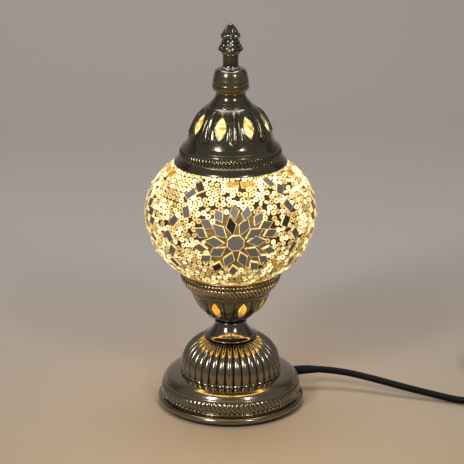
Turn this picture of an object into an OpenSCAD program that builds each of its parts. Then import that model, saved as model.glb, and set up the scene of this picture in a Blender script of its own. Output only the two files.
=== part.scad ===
// Mosaic glass table lamp: a spun foot, a fluted dome, a cup that holds a mosaic
// globe, and a pierced cap with a finial, on one threaded stem. Millimetres, +Z up.
// The lamp stands on z = 0 with its axis on the Z axis; the front is -Y.

/* [Globe] */
// Height of the globe's widest ring above the table
globe_z = 150; // [148:0.5:152]
// Radius of the glass at its widest ring, outside
glass_r = 60.5; // [60:0.5:61]
// Thickness of the blown glass
glass_t = 2.4; // [1.8:0.1:2.6]
// Height of the seed bead layer above the grout
bead_h = 1.8; // [1.4:0.1:1.9]

/* [Mosaic] */
// Distance from a star's middle to its inner rhombs' middles
inner_ring = 14.6; // [14.2:0.1:15]
// Distance from a star's middle to its outer rhombs' middles
outer_ring = 24.6; // [24.4:0.1:25]
// Inner rhombs in each star
inner_count = 10; // [9:1:10]
// Outer rhombs in each star
outer_count = 15; // [14:1:15]
// Amber pieces in the ring below the cap
border_count = 26; // [24:1:27]

/* [Metalwork] */
// Ribs of the fluted dome
rib_count = 36; // [32:1:40]
// Twisted strands round the foot's rope band
foot_strands = 90; // [80:1:96]
// Twisted strands round the cap's rope band
cap_strands = 80; // [72:1:88]
// Wall thickness of the spun sheet
sheet_t = 1.1; // [0.9:0.1:1.2]
// Pierced windows round the cap, and round the cup
window_count = 8; // [6:1:8]

/* [Cord] */
// Diameter of the round flex
flex_d = 5.2; // [5:0.1:5.4]
// Rocker tilt at rest
rocker_tilt = 7; // [5:1:8]

/* [Hidden] */
$fn = 96;
rod_r = 5;
rod_bore = 3.4;
top_rod_r = 3;
plate_z = 24.6;
dome_top = 54.5;
dome_r = 37.4;
collar_top = 65.4;
cup_floor = collar_top + 1.2;
rim_z = 187;
shell_low = 107;
shell_high = 189.7;
shell_steps = 36;
border_step = 30;
top_bead_h = bead_h - 0.5;
cup_turn = -5.87;
cap_turn = 3.375;
grout_t = 0.7;
glass_low = 53;
glass_up = 46.2;
neck_r = 32.6;
neck_bottom = 96.4;
mouth_r = 31;
grout_r = glass_r + grout_t;
bead_r = grout_r + bead_h;
tile_t = 1.5;
star_z = 146;
stars = [-90, 0, 90, 180];
pocket_r = 29.4;
line_slot = 17;
line_count = 7;
line_swing = 3.6;
holder_z = 72;
screw_z = 90;
bulb_r = 22.5;
bulb_z = 141;
cap_plate = 240;
post_z = 258.6;
finial_z = 267.8;
exit_az = 18;
exit_gap = 12;
exit_z = 14.5;
coil_x = 229;
coil_y = 46;
coil_in = 19.8;
coil_out = 41.2;
coil_h = 10.6;
sw_x = 218;
sw_y = -27;
sw_l = 60;
sw_w = 24;
sw_h = 18;
plug_x = 247;
plug_y = 29;
plug_l = 36;
plug_z = coil_h + 7;
metal = [0.23, 0.20, 0.17];
dark_metal = [0.16, 0.14, 0.12];
gold = [0.72, 0.53, 0.25];
steel = [0.66, 0.66, 0.66];
black = [0.04, 0.04, 0.04];
cream = [0.97, 0.90, 0.70];
mirror_grey = [0.36, 0.35, 0.36];

// Spun foot, outside line from the rolled rim up to the flat top.
foot_line = [[50.9, 2.3], [50.9, 9.2], [51.3, 9.4], [50.1, 17.4], [50.6, 17.8], [50.9, 18.5],
    [50.5, 19.4], [49.5, 20.0], [49.3, 20.6], [48.6, 21.8], [46.8, 23.0], [43.5, 24.0],
    [39.8, plate_z], [rod_r, plate_z]];
foot_inner = [[rod_r, plate_z - 1.2], [39.4, plate_z - 1.2], [43, 22.6], [46, 21.6],
    [47.6, 20.2], [48.4, 18.4], [49.9, 9.6], [49.7, 9.2], [49.7, 2.3]];
// Cup, outside line from its floor to its lip, and inside line back down.
cup_line = [[11.2, collar_top], [11.7, 66.3], [14.7, 68.5], [18.0, 71.3], [22.4, 75.3],
    [24.9, 79.1], [26.8, 83.0], [28.2, 86.8], [28.8, 88.3], [30.1, 88.8], [30.5, 89.8],
    [30.2, 90.8], [31.2, 91.6], [33.3, 94.0], [34.8, 96.3], [35.9, 98.6], [36.3, 99.2],
    [36.5, 103.0], [37.3, 103.6], [37.6, 104.3], [37.3, 105.0], [36.4, 105.2]];
cup_inner = [[35.7, 104.6], [35.2, 103.0], [34.8, 99.0], [33.7, 96.6], [32.1, 94.4],
    [29.6, 91.6], [27.3, 87.4], [25.7, 83.4], [23.8, 79.5], [21.3, 75.9], [17.2, 72.3],
    [13.7, 69.5], [11.0, 67.2], [10.4, cup_floor], [rod_r, cup_floor], [rod_r, collar_top]];
// Cap, outside line from its rim to its neck, and inside line back down.
cap_line = [[38.0, rim_z], [41.2, rim_z], [41.3, 187.8], [40.8, 188.8], [39.6, 190.4],
    [38.0, 192.0], [36.5, 192.9], [35.7, 198.7], [36.0, 199.1], [35.2, 200.1], [33.6, 201.6],
    [32.1, 203.3], [31.5, 204.6], [30.6, 206.8], [29.5, 210.7], [27.9, 214.9], [26.0, 218.9],
    [23.3, 223.3], [19.8, 227.4], [17.4, 229.5], [15.7, 230.3], [15.6, 231.2], [14.6, 232.2],
    [13.0, 233.6], [11.6, 235.6], [10.9, 237.6], [10.8, cap_plate]];
cap_inner = [[top_rod_r, cap_plate], [top_rod_r, cap_plate - 1.2], [9.6, cap_plate - 1.2],
    [9.8, 237.0], [10.7, 234.8], [12.4, 232.6], [14.0, 231.0], [16.2, 229.0], [18.9, 226.6],
    [22.3, 222.6], [24.9, 218.4], [26.8, 214.4], [28.4, 210.4], [29.5, 206.4], [30.6, 203.6],
    [32.8, 200.8], [34.6, 198.4], [35.3, 193.0], [36.8, 191.0], [38.0, 188.8]];
finial_line = [[0, finial_z + 7.4], [top_rod_r, finial_z + 7.4], [top_rod_r, finial_z],
    [6.2, finial_z], [6.4, 268.4], [6.2, 268.9], [7.6, 269.3], [8.6, 270.4], [8.65, 271.2],
    [8.0, 272.4], [6.6, 274.8], [5.8, 277.0], [5.6, 278.3], [6.2, 279.5], [7.3, 280.8],
    [7.2, 281.6], [6.0, 282.5], [5.2, 283.7], [4.4, 285.4], [3.4, 287.0], [2.2, 288.4],
    [0.8, 289.4], [0, 289.5]];
// Middle line of the flex from the foot to the switch, and on to the coil.
lead_route = [[44.2, 14.4, 14.5], [58, 18.7, 14.5], [72, 18.6, 14.1], [89, 14.9, 12.9],
    [106, 8.6, 10.9], [130, -2.6, 7.8], [150, -11, 5.2], [168, -19, 3.4], [180, -24.4, 4.2],
    [188.2, sw_y, 7]];
tail_route = [[247.8, sw_y, 7], [257, -26, 4.2], [268, -18, 2.8], [276, -4, 2.8],
    [277, 14, 2.8], [273, 31, 2.8], [267.6, coil_y, 2.8]];
end_route = [[190.4, coil_y, 8], [191.7, 36, 9], [195.6, 26.7, 11.2], [201.7, 18.7, 12.8],
    [209.7, 12.6, 13.4], [222.3, 8, 13.6], [229.6, 8.3, 14.2], [236.5, 10.8, 15],
    [244.2, 18.5, 16.6], [plug_x, plug_y, plug_z]];

function last(v) = v[len(v) - 1];
function unit(v) = v / norm(v);
// Point of the globe's surface offset d outward from the glass, at angle t.
function shell_pt(d, t) = [(glass_r + d) * cos(t),
    globe_z + ((t < 0 ? glass_low : glass_up) + d) * sin(t)];
function shell_t(d, z) = asin((z - globe_z) / ((z < globe_z ? glass_low : glass_up) + d));
function shell_step_t(i) = shell_t(0, shell_low)
    + (shell_t(0, shell_high) - shell_t(0, shell_low)) * i / shell_steps;
function shell_arc(d, i0, i1) = [for (i = [i0 : i1]) shell_pt(d, shell_step_t(i))];
function flip(v) = [for (i = [len(v) - 1 : -1 : 0]) v[i]];
// A four-cornered face as two triangles.
function halves(a, b, c, d) = [[a, b, c], [a, c, d]];
// Catmull-Rom point of a route at u from 0 to 1.
function route_at(p, u) = let(n = len(p) - 1, s = min(u * n, n - 0.0001), i = floor(s),
    t = s - i, a = p[max(i - 1, 0)], b = p[i], c = p[i + 1], d = p[min(i + 2, n)])
    0.5 * (2 * b + (c - a) * t + (2 * a - 5 * b + 4 * c - d) * t * t
    + (3 * b - a - 3 * c + d) * t * t * t);

// Closed tube swept along a route, eight sides.
module swept(route, d, rings) {
    sides = 8;
    pts = [for (k = [0 : rings]) route_at(route, k / rings)];
    ring = [for (k = [0 : rings]) let(f = unit(pts[min(k + 1, rings)] - pts[max(k - 1, 0)]),
        s = unit(cross(f, [0, 0, 1])), v = cross(s, f))
        for (j = [0 : sides - 1]) pts[k] + d / 2 * (cos(j * 45) * s + sin(j * 45) * v)];
    walls = [for (k = [0 : rings - 1]) for (j = [0 : sides - 1]) let(n = (j + 1) % sides)
        each halves(k * sides + j, k * sides + n, (k + 1) * sides + n, (k + 1) * sides + j)];
    low = [for (j = [sides - 1 : -1 : 0]) j];
    high = [for (j = [0 : sides - 1]) rings * sides + j];
    polyhedron(ring, concat([low], walls, [high]));
}

// Twisted rope moulding: a ring between two radii whose outside is ribbed aslant.
// A gap in degrees leaves it open there, with closed ends.
module rope_band(z0, r0, z1, r1, depth, strands, gap = 0, gap_az = 0) {
    levels = 4;
    per = 4;
    n = strands * per;
    m = gap > 0 ? n + 1 : n;
    wave = [0, 0.75, 1, 0.75];
    step = (360 - gap) / n;
    from = gap_az + gap / 2;
    outer = [for (k = [0 : levels]) for (i = [0 : m - 1]) let(u = k / levels,
        swell = depth * (0.35 + 0.65 * sin(180 * u)), a = from + step * i,
        r = r0 + (r1 - r0) * u + swell * (0.25 + 0.75 * wave[(i + k) % per]))
        [r * cos(a), r * sin(a), z0 + (z1 - z0) * u]];
    inner = [for (k = [0, 1]) for (i = [0 : m - 1]) let(a = from + step * i,
        r = k == 0 ? r0 : r1) [r * cos(a), r * sin(a), k == 0 ? z0 : z1]];
    base = (levels + 1) * m;
    skin = [for (k = [0 : levels - 1]) for (i = [0 : n - 1]) let(j = (i + 1) % m)
        each halves(k * m + i, (k + 1) * m + i, (k + 1) * m + j, k * m + j)];
    back = [for (i = [0 : n - 1]) let(j = (i + 1) % m)
        each halves(base + i, base + j, base + m + j, base + m + i)];
    under = [for (i = [0 : n - 1]) let(j = (i + 1) % m)
        each halves(i, j, base + j, base + i)];
    over = [for (i = [0 : n - 1]) let(j = (i + 1) % m)
        each halves(levels * m + i, base + m + i, base + m + j, levels * m + j)];
    first = [for (k = [0 : levels - 1]) [base + m, (k + 1) * m, k * m]];
    final = [for (k = [0 : levels - 1]) [base + m + n, k * m + n, (k + 1) * m + n]];
    foot_ends = [[base + m, 0, base], [base + m + n, base + n, n]];
    polyhedron(concat(outer, inner), concat(skin, back, under, over,
        gap > 0 ? concat(first, final, foot_ends) : []), convexity = 6);
}

// Place on the globe's surface, +Z outward, +Y up the globe, +X round it.
module on_globe(az, t, d) {
    p = shell_pt(d, t);
    b = (t < 0 ? glass_low : glass_up) + d;
    lean = atan2((glass_r + d) * sin(t), b * cos(t));
    rotate([0, 0, az]) translate([p[0], 0, p[1]]) rotate([0, -lean, 0])
        rotate([90, 0, 90]) children();
}

// Place at a distance and a bearing from a star's middle.
module in_star(az, dist, bearing) {
    t0 = shell_t(0, star_z);
    t = t0 + dist * sin(bearing) / 57 * 57.3;
    turn = dist * cos(bearing) / (glass_r * cos((t + t0) / 2)) * 57.3;
    on_globe(az + turn, t, grout_t + 0.05) rotate([0, 0, bearing]) children();
}

module rhomb(l, w) {
    linear_extrude(tile_t) polygon([[-l / 2, 0], [0, -w / 2], [l / 2, 0], [0, w / 2]]);
}

module lens_cut(l, w, deep) {
    r = (l * l + w * w) / (4 * w);
    intersection() {
        translate([r - w / 2, 0, 0]) cylinder(r = r, h = deep, center = true);
        translate([w / 2 - r, 0, 0]) cylinder(r = r, h = deep, center = true);
    }
}

module windows(r, z, pitch, l, w, turn) {
    for (i = [0 : window_count - 1])
        rotate([0, 0, turn - 90 + 360 / window_count * (i + 0.5)]) translate([r, 0, z])
            rotate([0, 90 - pitch, 0]) rotate([0, 0, 90]) lens_cut(l, w, 9);
}

module base_pad() {
    color(black) cylinder(r = 51.8, h = 2.3);
}

module base_plate() {
    color(steel) translate([0, 0, 2.3]) difference() {
        cylinder(r = 49.7, h = 1.2);
        for (a = [30, 150, 270]) rotate([0, 0, a]) translate([40, 0, 0.2]) cylinder(r = 2, h = 2);
    }
}

module plate_screws() {
    color(steel) for (a = [30, 150, 270]) rotate([0, 0, a]) translate([40, 0, 2.5]) {
        cylinder(r = 2, h = 1);
        translate([0, 0, 1]) cylinder(r = 3.4, h = 1.4);
    }
}

module foot() {
    color(metal) difference() {
        union() {
            rotate_extrude() polygon(concat(foot_line, foot_inner));
            translate([0, 0, 4.5]) rotate_extrude() translate([52.8, 0]) circle(r = 2.2);
        }
        translate([0, 0, exit_z]) rotate([0, 0, exit_az]) rotate([0, 90, 0])
            cylinder(r = 4.6, h = 70);
    }
}

module foot_rope() {
    color(metal) rope_band(9.4, 51.3, 17.4, 50.1, 1.5, foot_strands, exit_gap, exit_az);
}

module fluted_dome() {
    per = 4;
    n = rib_count * per;
    levels = 12;
    squash = 2.4;
    height = dome_top - 27;
    wave = [0, 0.72, 1, 0.72];
    outer = [for (k = [0 : levels]) for (i = [0 : n - 1]) let(
        z = k == 0 ? plate_z : 27 + height * sin(k * 90 / levels * 0.93),
        u = (z - 27) / height,
        r = k == 0 ? dome_r : dome_r * pow(1 - pow(max(u, 0), squash), 1 / squash),
        cut = 1.5 * min(1, r / 30) * (1 - wave[i % per]), a = 360 * i / n)
        [(r - cut) * cos(a), (r - cut) * sin(a), z]];
    top_z = last(outer)[2];
    rest = [[8, dome_top], [rod_r, dome_top], [rod_r, dome_top - 1.4], [12, 52.0],
        [20, 49.4], [28, 44], [33, 36.5], [35.1, 28], [35.2, plate_z]];
    inner = [for (q = rest) for (i = [0 : n - 1]) let(a = 360 * i / n)
        [q[0] * cos(a), q[0] * sin(a), q[1]]];
    rows = levels + 1 + len(rest);
    faces = [for (k = [0 : rows - 1]) for (i = [0 : n - 1]) let(j = (i + 1) % n,
        m = (k + 1) % rows) each halves(k * n + i, m * n + i, m * n + j, k * n + j)];
    color(metal) polyhedron(concat(outer, inner), faces, convexity = 8);
}

module collar() {
    color(dark_metal) rotate_extrude() polygon([[rod_r, dome_top], [8, dome_top],
        [12, 54.2], [16, 53.4], [18.8, 52.5], [19.9, 52.5], [20, 53.3], [19.2, 53.9],
        [17.2, 54.9], [15.2, 56.9], [13.3, 59.4], [12.1, 61.8], [11.5, 63.6], [12.0, 64.2],
        [12.1, 64.8], [11.6, collar_top], [rod_r, collar_top]]);
}

module cup() {
    color(metal) difference() {
        rotate_extrude() polygon(concat(cup_line, cup_inner));
        windows(24.4, 79.6, -31.5, 16.4, 5.4, cup_turn);
    }
}

module cup_rope() {
    color(metal) rope_band(99.2, 36.3, 103.0, 36.5, 1.1, 72);
}

module stem_rod() {
    color(steel) translate([0, 0, 14]) difference() {
        cylinder(r = rod_r, h = 63);
        translate([0, 0, -1]) cylinder(r = rod_bore, h = 65);
    }
}

module hex_nut(across, thick, hole) {
    difference() {
        cylinder(r = across / 2 / cos(30), h = thick, $fn = 6);
        translate([0, 0, -1]) cylinder(r = hole, h = thick + 2, $fn = 96);
    }
}

module ring(r_in, r_out, thick) {
    difference() {
        cylinder(r = r_out, h = thick);
        translate([0, 0, -1]) cylinder(r = r_in, h = thick + 2);
    }
}

module foot_washer() {
    color(steel) translate([0, 0, plate_z - 2.2]) ring(rod_r, 11, 1);
}

module foot_nut() {
    color(gold) translate([0, 0, plate_z - 5.4]) hex_nut(14, 3.2, rod_r);
}

module cup_washer() {
    color(steel) translate([0, 0, cup_floor]) ring(rod_r, 9.6, 1);
}

module cup_nut() {
    color(gold) translate([0, 0, cup_floor + 1]) hex_nut(14, 3.2, rod_r);
}

module gallery_ring() {
    color(gold) rotate_extrude() polygon([[29.0, 94.4], [32.1, 94.4], [32.83, 95.4],
        [29.0, 95.4]]);
}

module gasket() {
    color(black) translate([0, 0, 95.4]) ring(29.4, 32.8, 1);
}

module holder_base() {
    color(black) rotate_extrude() polygon([[rod_r, holder_z], [7.6, holder_z], [8.2, 75],
        [12.6, 79], [14, 81], [14, 86], [12.7, 86], [12.7, 81.6], [11.8, 80.2], [rod_r, 77]]);
}

module holder_sleeve() {
    color(black) rotate_extrude() polygon([[12.7, 86], [14, 86], [14, 109.4], [13.4, 110],
        [12.7, 109.4]]);
}

module holder_core() {
    color([0.92, 0.91, 0.88]) difference() {
        translate([0, 0, 84]) cylinder(r = 12.7, h = 22);
        translate([0, 0, screw_z - 1.8]) cylinder(r = 7.9, h = 30);
    }
}

module holder_shell() {
    color(gold) translate([0, 0, screw_z]) ring(7.4, 7.9, 15);
}

module holder_contact() {
    color(gold) translate([0, 0, screw_z - 1.8]) {
        translate([-2, -6, 0]) cube([4, 12, 0.5]);
        translate([0, 0, 0.5]) cylinder(r = 2, h = 0.6);
    }
}

module bulb_contact() {
    color(steel) translate([0, 0, 89.4]) cylinder(r1 = 2, r2 = 3, h = 0.8);
}

module bulb_insulator() {
    color(black) translate([0, 0, 90.2]) cylinder(r1 = 3, r2 = 5.4, h = 2.2);
}

module bulb_cap() {
    pitch = 2.8;
    color(steel) rotate_extrude() polygon(concat([[0, 92.4], [5.4, 92.4], [6.3, 93.2]],
        [for (i = [0 : 3]) for (q = [[6.4, 0.3], [6.85, 1.1], [6.85, 1.5], [6.4, 2.3]])
        [q[0], 93.2 + i * pitch + q[1]]], [[6.5, 104.6], [6.5, 108], [7, 109], [0, 109]]));
}

module bulb_glass() {
    t0 = -68;
    color([0.98, 0.93, 0.78, 0.5]) rotate_extrude() polygon(concat(
        [[7.0, 109]], [[7.2, 113], [7.7, 118]],
        [for (i = [0 : 18]) let(t = t0 + (90 - t0) * i / 18)
        [bulb_r * cos(t), bulb_z + bulb_r * sin(t)]],
        [for (i = [18 : -1 : 0]) let(t = t0 + (90 - t0) * i / 18)
        [(bulb_r - 0.8) * cos(t), bulb_z + (bulb_r - 0.8) * sin(t)]],
        [[6.9, 118], [6.4, 113], [6.2, 109]]));
}

module bulb_stem() {
    color([0.9, 0.92, 0.9]) rotate_extrude() polygon([[0, 109], [5, 109], [4, 112],
        [2, 116], [1.6, 128], [2.2, 130], [0, 131]]);
}

module filaments() {
    color([1, 0.82, 0.45]) for (a = [45 : 90 : 315]) rotate([0, 0, a])
        translate([1.4, 0, 127.6]) rotate([0, 14, 0]) cylinder(r = 0.8, h = 24);
}

module globe_glass() {
    outer = shell_arc(0, 0, shell_steps);
    inner = shell_arc(-glass_t, 0, shell_steps);
    color([0.95, 0.86, 0.62, 0.4]) rotate_extrude() polygon(concat(
        [[neck_r - glass_t, neck_bottom], [neck_r, neck_bottom], [neck_r, 104.2],
        [33.2, 105.8]], outer, flip(inner), [[neck_r - glass_t, 105.2]]));
}

module grout_bed() {
    color([0.93, 0.84, 0.62]) rotate_extrude() polygon(concat(
        shell_arc(grout_t, 1, border_step + 4), flip(shell_arc(0, 1, border_step + 4))));
}

module bead_layer() {
    color(cream) {
        difference() {
            rotate_extrude() polygon(concat(shell_arc(grout_t + bead_h, 1, border_step),
                flip(shell_arc(grout_t, 1, border_step))));
            for (a = stars) rotate([0, 0, a]) {
                translate([30, 0, star_z]) rotate([0, 90, 0]) cylinder(r = pocket_r, h = 40);
                rotate([0, 0, 45]) translate([30, -line_slot / 2, 117])
                    cube([40, line_slot, 61.5]);
            }
        }
        rotate_extrude() polygon(concat(
            shell_arc(grout_t + top_bead_h, border_step + 2, border_step + 3),
            flip(shell_arc(grout_t, border_step + 2, border_step + 3))));
    }
}

module star_centres() {
    color(mirror_grey) for (a = stars) in_star(a, 0, 0) linear_extrude(tile_t)
        polygon([for (i = [0 : 7]) 5.6 * [cos(22.5 + i * 45), sin(22.5 + i * 45)]]);
}

module inner_rhombs() {
    color(mirror_grey) for (a = stars) for (i = [0 : inner_count - 1])
        in_star(a, inner_ring, 3 + 360 * i / inner_count) rhomb(13.2, 7.6);
}

module outer_rhombs() {
    color(mirror_grey) for (a = stars) for (i = [0 : outer_count - 1])
        in_star(a, outer_ring, 9 + 360 * i / outer_count) rhomb(7.6, 7.2);
}

module line_tiles() {
    color([0.42, 0.36, 0.28]) for (a = stars) for (i = [0 : line_count - 1])
        on_globe(a + 45 + (i % 2 == 0 ? 1 : -1) * line_swing, -27 + 54 * i / (line_count - 1),
            grout_t + 0.05) rotate([0, 0, i % 2 == 0 ? 62 : 118]) rhomb(8.4, 6.2);
}

module border_tiles() {
    t = shell_step_t(border_step + 1);
    color([0.80, 0.47, 0.14]) for (i = [0 : border_count - 1])
        on_globe(360 * i / border_count, t, grout_t + 0.05) translate([-4, -2.45, 0])
            cube([8, 4.9, tile_t]);
}

module cap_dome() {
    color(metal) difference() {
        rotate_extrude() polygon(concat(cap_line, cap_inner));
        windows(25.7, 219.2, 29.4, 20, 7.6, cap_turn);
    }
}

module cap_rope() {
    color(metal) rope_band(193.0, 36.51, 198.6, 35.735, 1.3, cap_strands);
}

module cap_nut() {
    color(gold) translate([0, 0, cap_plate - 4.4]) hex_nut(10, 3.2, top_rod_r);
}

module cap_rod() {
    color(steel) translate([0, 0, 233]) cylinder(r = top_rod_r, h = 41.5);
}

module ferrule() {
    color(metal) rotate_extrude() polygon([[top_rod_r, 240], [11.4, 240], [11.5, 240.7],
        [12.3, 241.1], [13.4, 242.2], [13.55, 243.4], [13.3, 246.1], [12.9, 246.4],
        [12.9, 246.8], [13.2, 247.1], [12.6, 250.4], [11.8, 254], [10.7, 256.2],
        [9.4, 257], [7.2, 257.2], [top_rod_r, 257.2]]);
}

module post_washer() {
    color(steel) rotate_extrude() polygon([[top_rod_r, 257.2], [7.0, 257.2], [7.1, 257.8],
        [6.6, 258.4], [6.0, post_z], [top_rod_r, post_z]]);
}

module post() {
    color(dark_metal) translate([0, 0, post_z]) ring(top_rod_r, 5.75, finial_z - post_z);
}

module finial() {
    color(dark_metal) rotate_extrude() polygon(finial_line);
}

module strain_relief() {
    color(black) translate([0, 0, exit_z]) rotate([0, 0, exit_az]) rotate([0, 90, 0])
        rotate_extrude() polygon([[2.6, 46.5], [6.2, 46.5], [6.2, 48.2], [4.5, 48.4],
        [4.5, 51.2], [4.2, 52.2], [3.5, 54.0], [3.2, 62], [2.9, 70.5], [2.6, 70.5]]);
}

module inner_cord() {
    color(black) swept([[0, 0, 14.2], [2, 0.6, 8], [12, 3.8, 7.4], [26, 8.6, 9.6],
        [36, 11.9, 13.2], [44.2, 14.4, exit_z]], flex_d - 0.4, 12);
}

module flex_lead() {
    color(black) swept(lead_route, flex_d, 18);
}

module flex_tail() {
    color(black) swept(tail_route, flex_d, 10);
}

module flex_coil() {
    lip = 2.6;
    color(black) translate([coil_x, coil_y, 0]) rotate_extrude() polygon([
        [coil_in + lip, 0], [coil_out - lip, 0], [coil_out, lip], [coil_out, coil_h - lip],
        [coil_out - lip, coil_h], [coil_in + lip, coil_h], [coil_in, coil_h - lip],
        [coil_in, lip]]);
}

module flex_end() {
    color(black) swept(end_route, flex_d, 14);
}

module switch_half(z0, top) {
    translate([sw_x, sw_y, z0]) intersection() {
        translate([0, 0, -10]) union() {
            translate([-sw_l / 2 + 8, -sw_w / 2, 0]) cube([sw_l - 16, sw_w, 40]);
            for (s = [-1, 1]) translate([s * (sw_l / 2 - 8), 0, 0]) scale([0.66, 1, 1])
                cylinder(r = sw_w / 2, h = 40);
        }
        translate([-sw_l / 2, -sw_w / 2, 0]) cube([sw_l, sw_w, top]);
    }
}

module switch_base() {
    color(black) difference() {
        switch_half(0, 7);
        translate([sw_x - 12, sw_y - 5.4, 2]) cube([24, 10.8, 8]);
    }
}

module switch_cover() {
    color(black) difference() {
        switch_half(7, sw_h - 7);
        translate([sw_x - 12, sw_y - 5.4, 6]) cube([24, 10.8, 20]);
    }
}

module switch_screws() {
    color(steel) for (s = [-1, 1]) translate([sw_x + s * 20, sw_y, sw_h]) cylinder(r = 2.4, h = 0.8);
}

module rocker() {
    color([0.1, 0.1, 0.1]) translate([sw_x, sw_y, 14]) rotate([0, rocker_tilt, 0])
        rotate([90, 0, 0]) {
            linear_extrude(9.8, center = true) polygon([[-10.6, -1], [-8, -4], [8, -4],
                [10.6, -1], [10.9, 5.6], [4, 4.7], [0, 4.4], [-4, 4.7], [-10.9, 5.6]]);
            cylinder(r = 1.6, h = 10.5, center = true);
        }
}

module plug_body() {
    color(black) translate([plug_x, plug_y, plug_z]) rotate([-90, 0, 0]) intersection() {
        linear_extrude(plug_l) polygon([[-7, -3.5], [-3.5, -7], [3.5, -7], [7, -3.5], [7, 3.5],
            [3.5, 7], [-3.5, 7], [-7, 3.5]]);
        union() {
            cylinder(r1 = 4, r2 = 12, h = 10);
            translate([0, 0, 10]) cylinder(r = 12, h = plug_l - 10);
        }
    }
}

module plug_pins() {
    color(steel) for (s = [-1, 1]) translate([plug_x + s * 3.6, plug_y + plug_l, plug_z])
        rotate([-90, 0, 0]) {
            cylinder(r = 2, h = 16);
            translate([0, 0, 16]) cylinder(r1 = 2, r2 = 1, h = 1.2);
        }
}

base_pad();
base_plate();
plate_screws();
foot();
foot_rope();
fluted_dome();
collar();
cup();
cup_rope();
stem_rod();
foot_washer();
foot_nut();
cup_washer();
cup_nut();
gallery_ring();
gasket();
holder_base();
holder_sleeve();
holder_core();
holder_shell();
holder_contact();
bulb_contact();
bulb_insulator();
bulb_cap();
bulb_glass();
bulb_stem();
filaments();
globe_glass();
grout_bed();
bead_layer();
star_centres();
inner_rhombs();
outer_rhombs();
line_tiles();
border_tiles();
cap_dome();
cap_rope();
cap_nut();
cap_rod();
ferrule();
post_washer();
post();
finial();
strain_relief();
inner_cord();
flex_lead();
flex_tail();
flex_coil();
flex_end();
switch_base();
switch_cover();
switch_screws();
rocker();
plug_body();
plug_pins();
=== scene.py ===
"""Looks of a mosaic glass table lamp, built around its CAD frame.

The lamp stands on z = 0 with its axis on the Z axis and its front star towards -Y. Shapes are
worked out in millimetres and scaled to metres when a piece is finished. Each sub-assembly is
a class that shapes, dresses and files its own pieces; main() builds them in order.
"""

import logging
import math
import random
from dataclasses import dataclass, field
from enum import Enum
from typing import Callable, Iterable, Optional, Sequence, Union

import bmesh
import bpy
from mathutils import Matrix, Vector, kdtree, noise


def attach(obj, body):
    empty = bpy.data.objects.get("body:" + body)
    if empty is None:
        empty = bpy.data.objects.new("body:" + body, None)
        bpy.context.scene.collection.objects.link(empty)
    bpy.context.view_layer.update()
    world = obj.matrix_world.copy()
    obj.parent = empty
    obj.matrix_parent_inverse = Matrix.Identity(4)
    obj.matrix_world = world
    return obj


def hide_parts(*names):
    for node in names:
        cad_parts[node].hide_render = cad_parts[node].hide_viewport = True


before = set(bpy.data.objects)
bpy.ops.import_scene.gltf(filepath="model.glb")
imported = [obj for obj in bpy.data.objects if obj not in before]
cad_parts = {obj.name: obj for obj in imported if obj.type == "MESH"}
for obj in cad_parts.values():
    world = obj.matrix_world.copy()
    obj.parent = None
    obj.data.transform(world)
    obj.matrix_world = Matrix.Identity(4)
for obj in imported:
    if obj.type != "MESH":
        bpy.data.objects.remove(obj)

Point2 = tuple[float, float]
Colour = tuple[float, float, float]
Rule = Callable[[float, float, float], float]
Source = Union[float, Colour, bpy.types.NodeSocket]

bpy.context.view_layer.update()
MM = 0.001
TAU = 2 * math.pi
LOG = logging.getLogger("lamp")


class Body(Enum):
    """The parts of the lamp that move on their own."""

    BASE = "base"
    GLOBE = "globe"
    CAP = "cap"
    BULB = "bulb"
    ROCKER = "rocker"


# ---------------------------------------------------------------- small geometry


def wrap(angle: float, step: float) -> float:
    """Angle to the nearest multiple of step, from -step/2 to step/2."""
    return (angle + step / 2) % step - step / 2


def ease(value: float) -> float:
    """Smooth step from 0 to 1."""
    value = min(1.0, max(0.0, value))
    return value * value * (3 - 2 * value)


def hump(distance: float, width: float) -> float:
    """A soft rounded ridge: 1 on its line, and almost 0 two widths away."""
    return math.exp(-((distance / width) ** 2))


def azimuth_of(spot: Vector) -> float:
    """A point's azimuth round the lamp's axis, in degrees."""
    return math.degrees(math.atan2(spot.y, spot.x))


def around(radius: float, azimuth: float, height: float = 0.0) -> Vector:
    """The point at a radius, an azimuth in degrees and a height."""
    turn = math.radians(azimuth)
    return Vector((radius * math.cos(turn), radius * math.sin(turn), height))


def rounded(line: Sequence[Point2], reach: float, parts: int = 3) -> list[Point2]:
    """Rounds an outline's corners.

    Args:
        line: outline points as (radius, height).
        reach: how far from a corner its rounding starts, in millimetres.
        parts: how many stretches each rounding has.

    Returns:
        The outline with each inner corner turned into a short curve.
    """
    out = [line[0]]
    for before, corner, after in zip(line, line[1:], line[2:]):
        here = Vector(corner)
        to_before, to_after = Vector(before) - here, Vector(after) - here
        start = here + to_before * min(0.5, reach / max(to_before.length, 1e-6))
        end = here + to_after * min(0.5, reach / max(to_after.length, 1e-6))
        for k in range(parts + 1):
            u = k / parts
            spot = start * (1 - u) ** 2 + here * 2 * u * (1 - u) + end * u * u
            if (spot - Vector(out[-1])).length > 1e-4:
                out.append((spot.x, spot.y))
    out.append(line[-1])
    return out


def dense(line: Sequence[Point2], step: float) -> list[Point2]:
    """Adds points to an outline.

    Args:
        line: outline points as (radius, height).
        step: the longest stretch that is left, in millimetres.

    Returns:
        The same outline with points no further apart than step.
    """
    out = [line[0]]
    for a, b in zip(line, line[1:]):
        count = max(1, math.ceil(math.dist(a, b) / step))
        out += [(a[0] + (b[0] - a[0]) * k / count, a[1] + (b[1] - a[1]) * k / count)
                for k in range(1, count + 1)]
    return out


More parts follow.
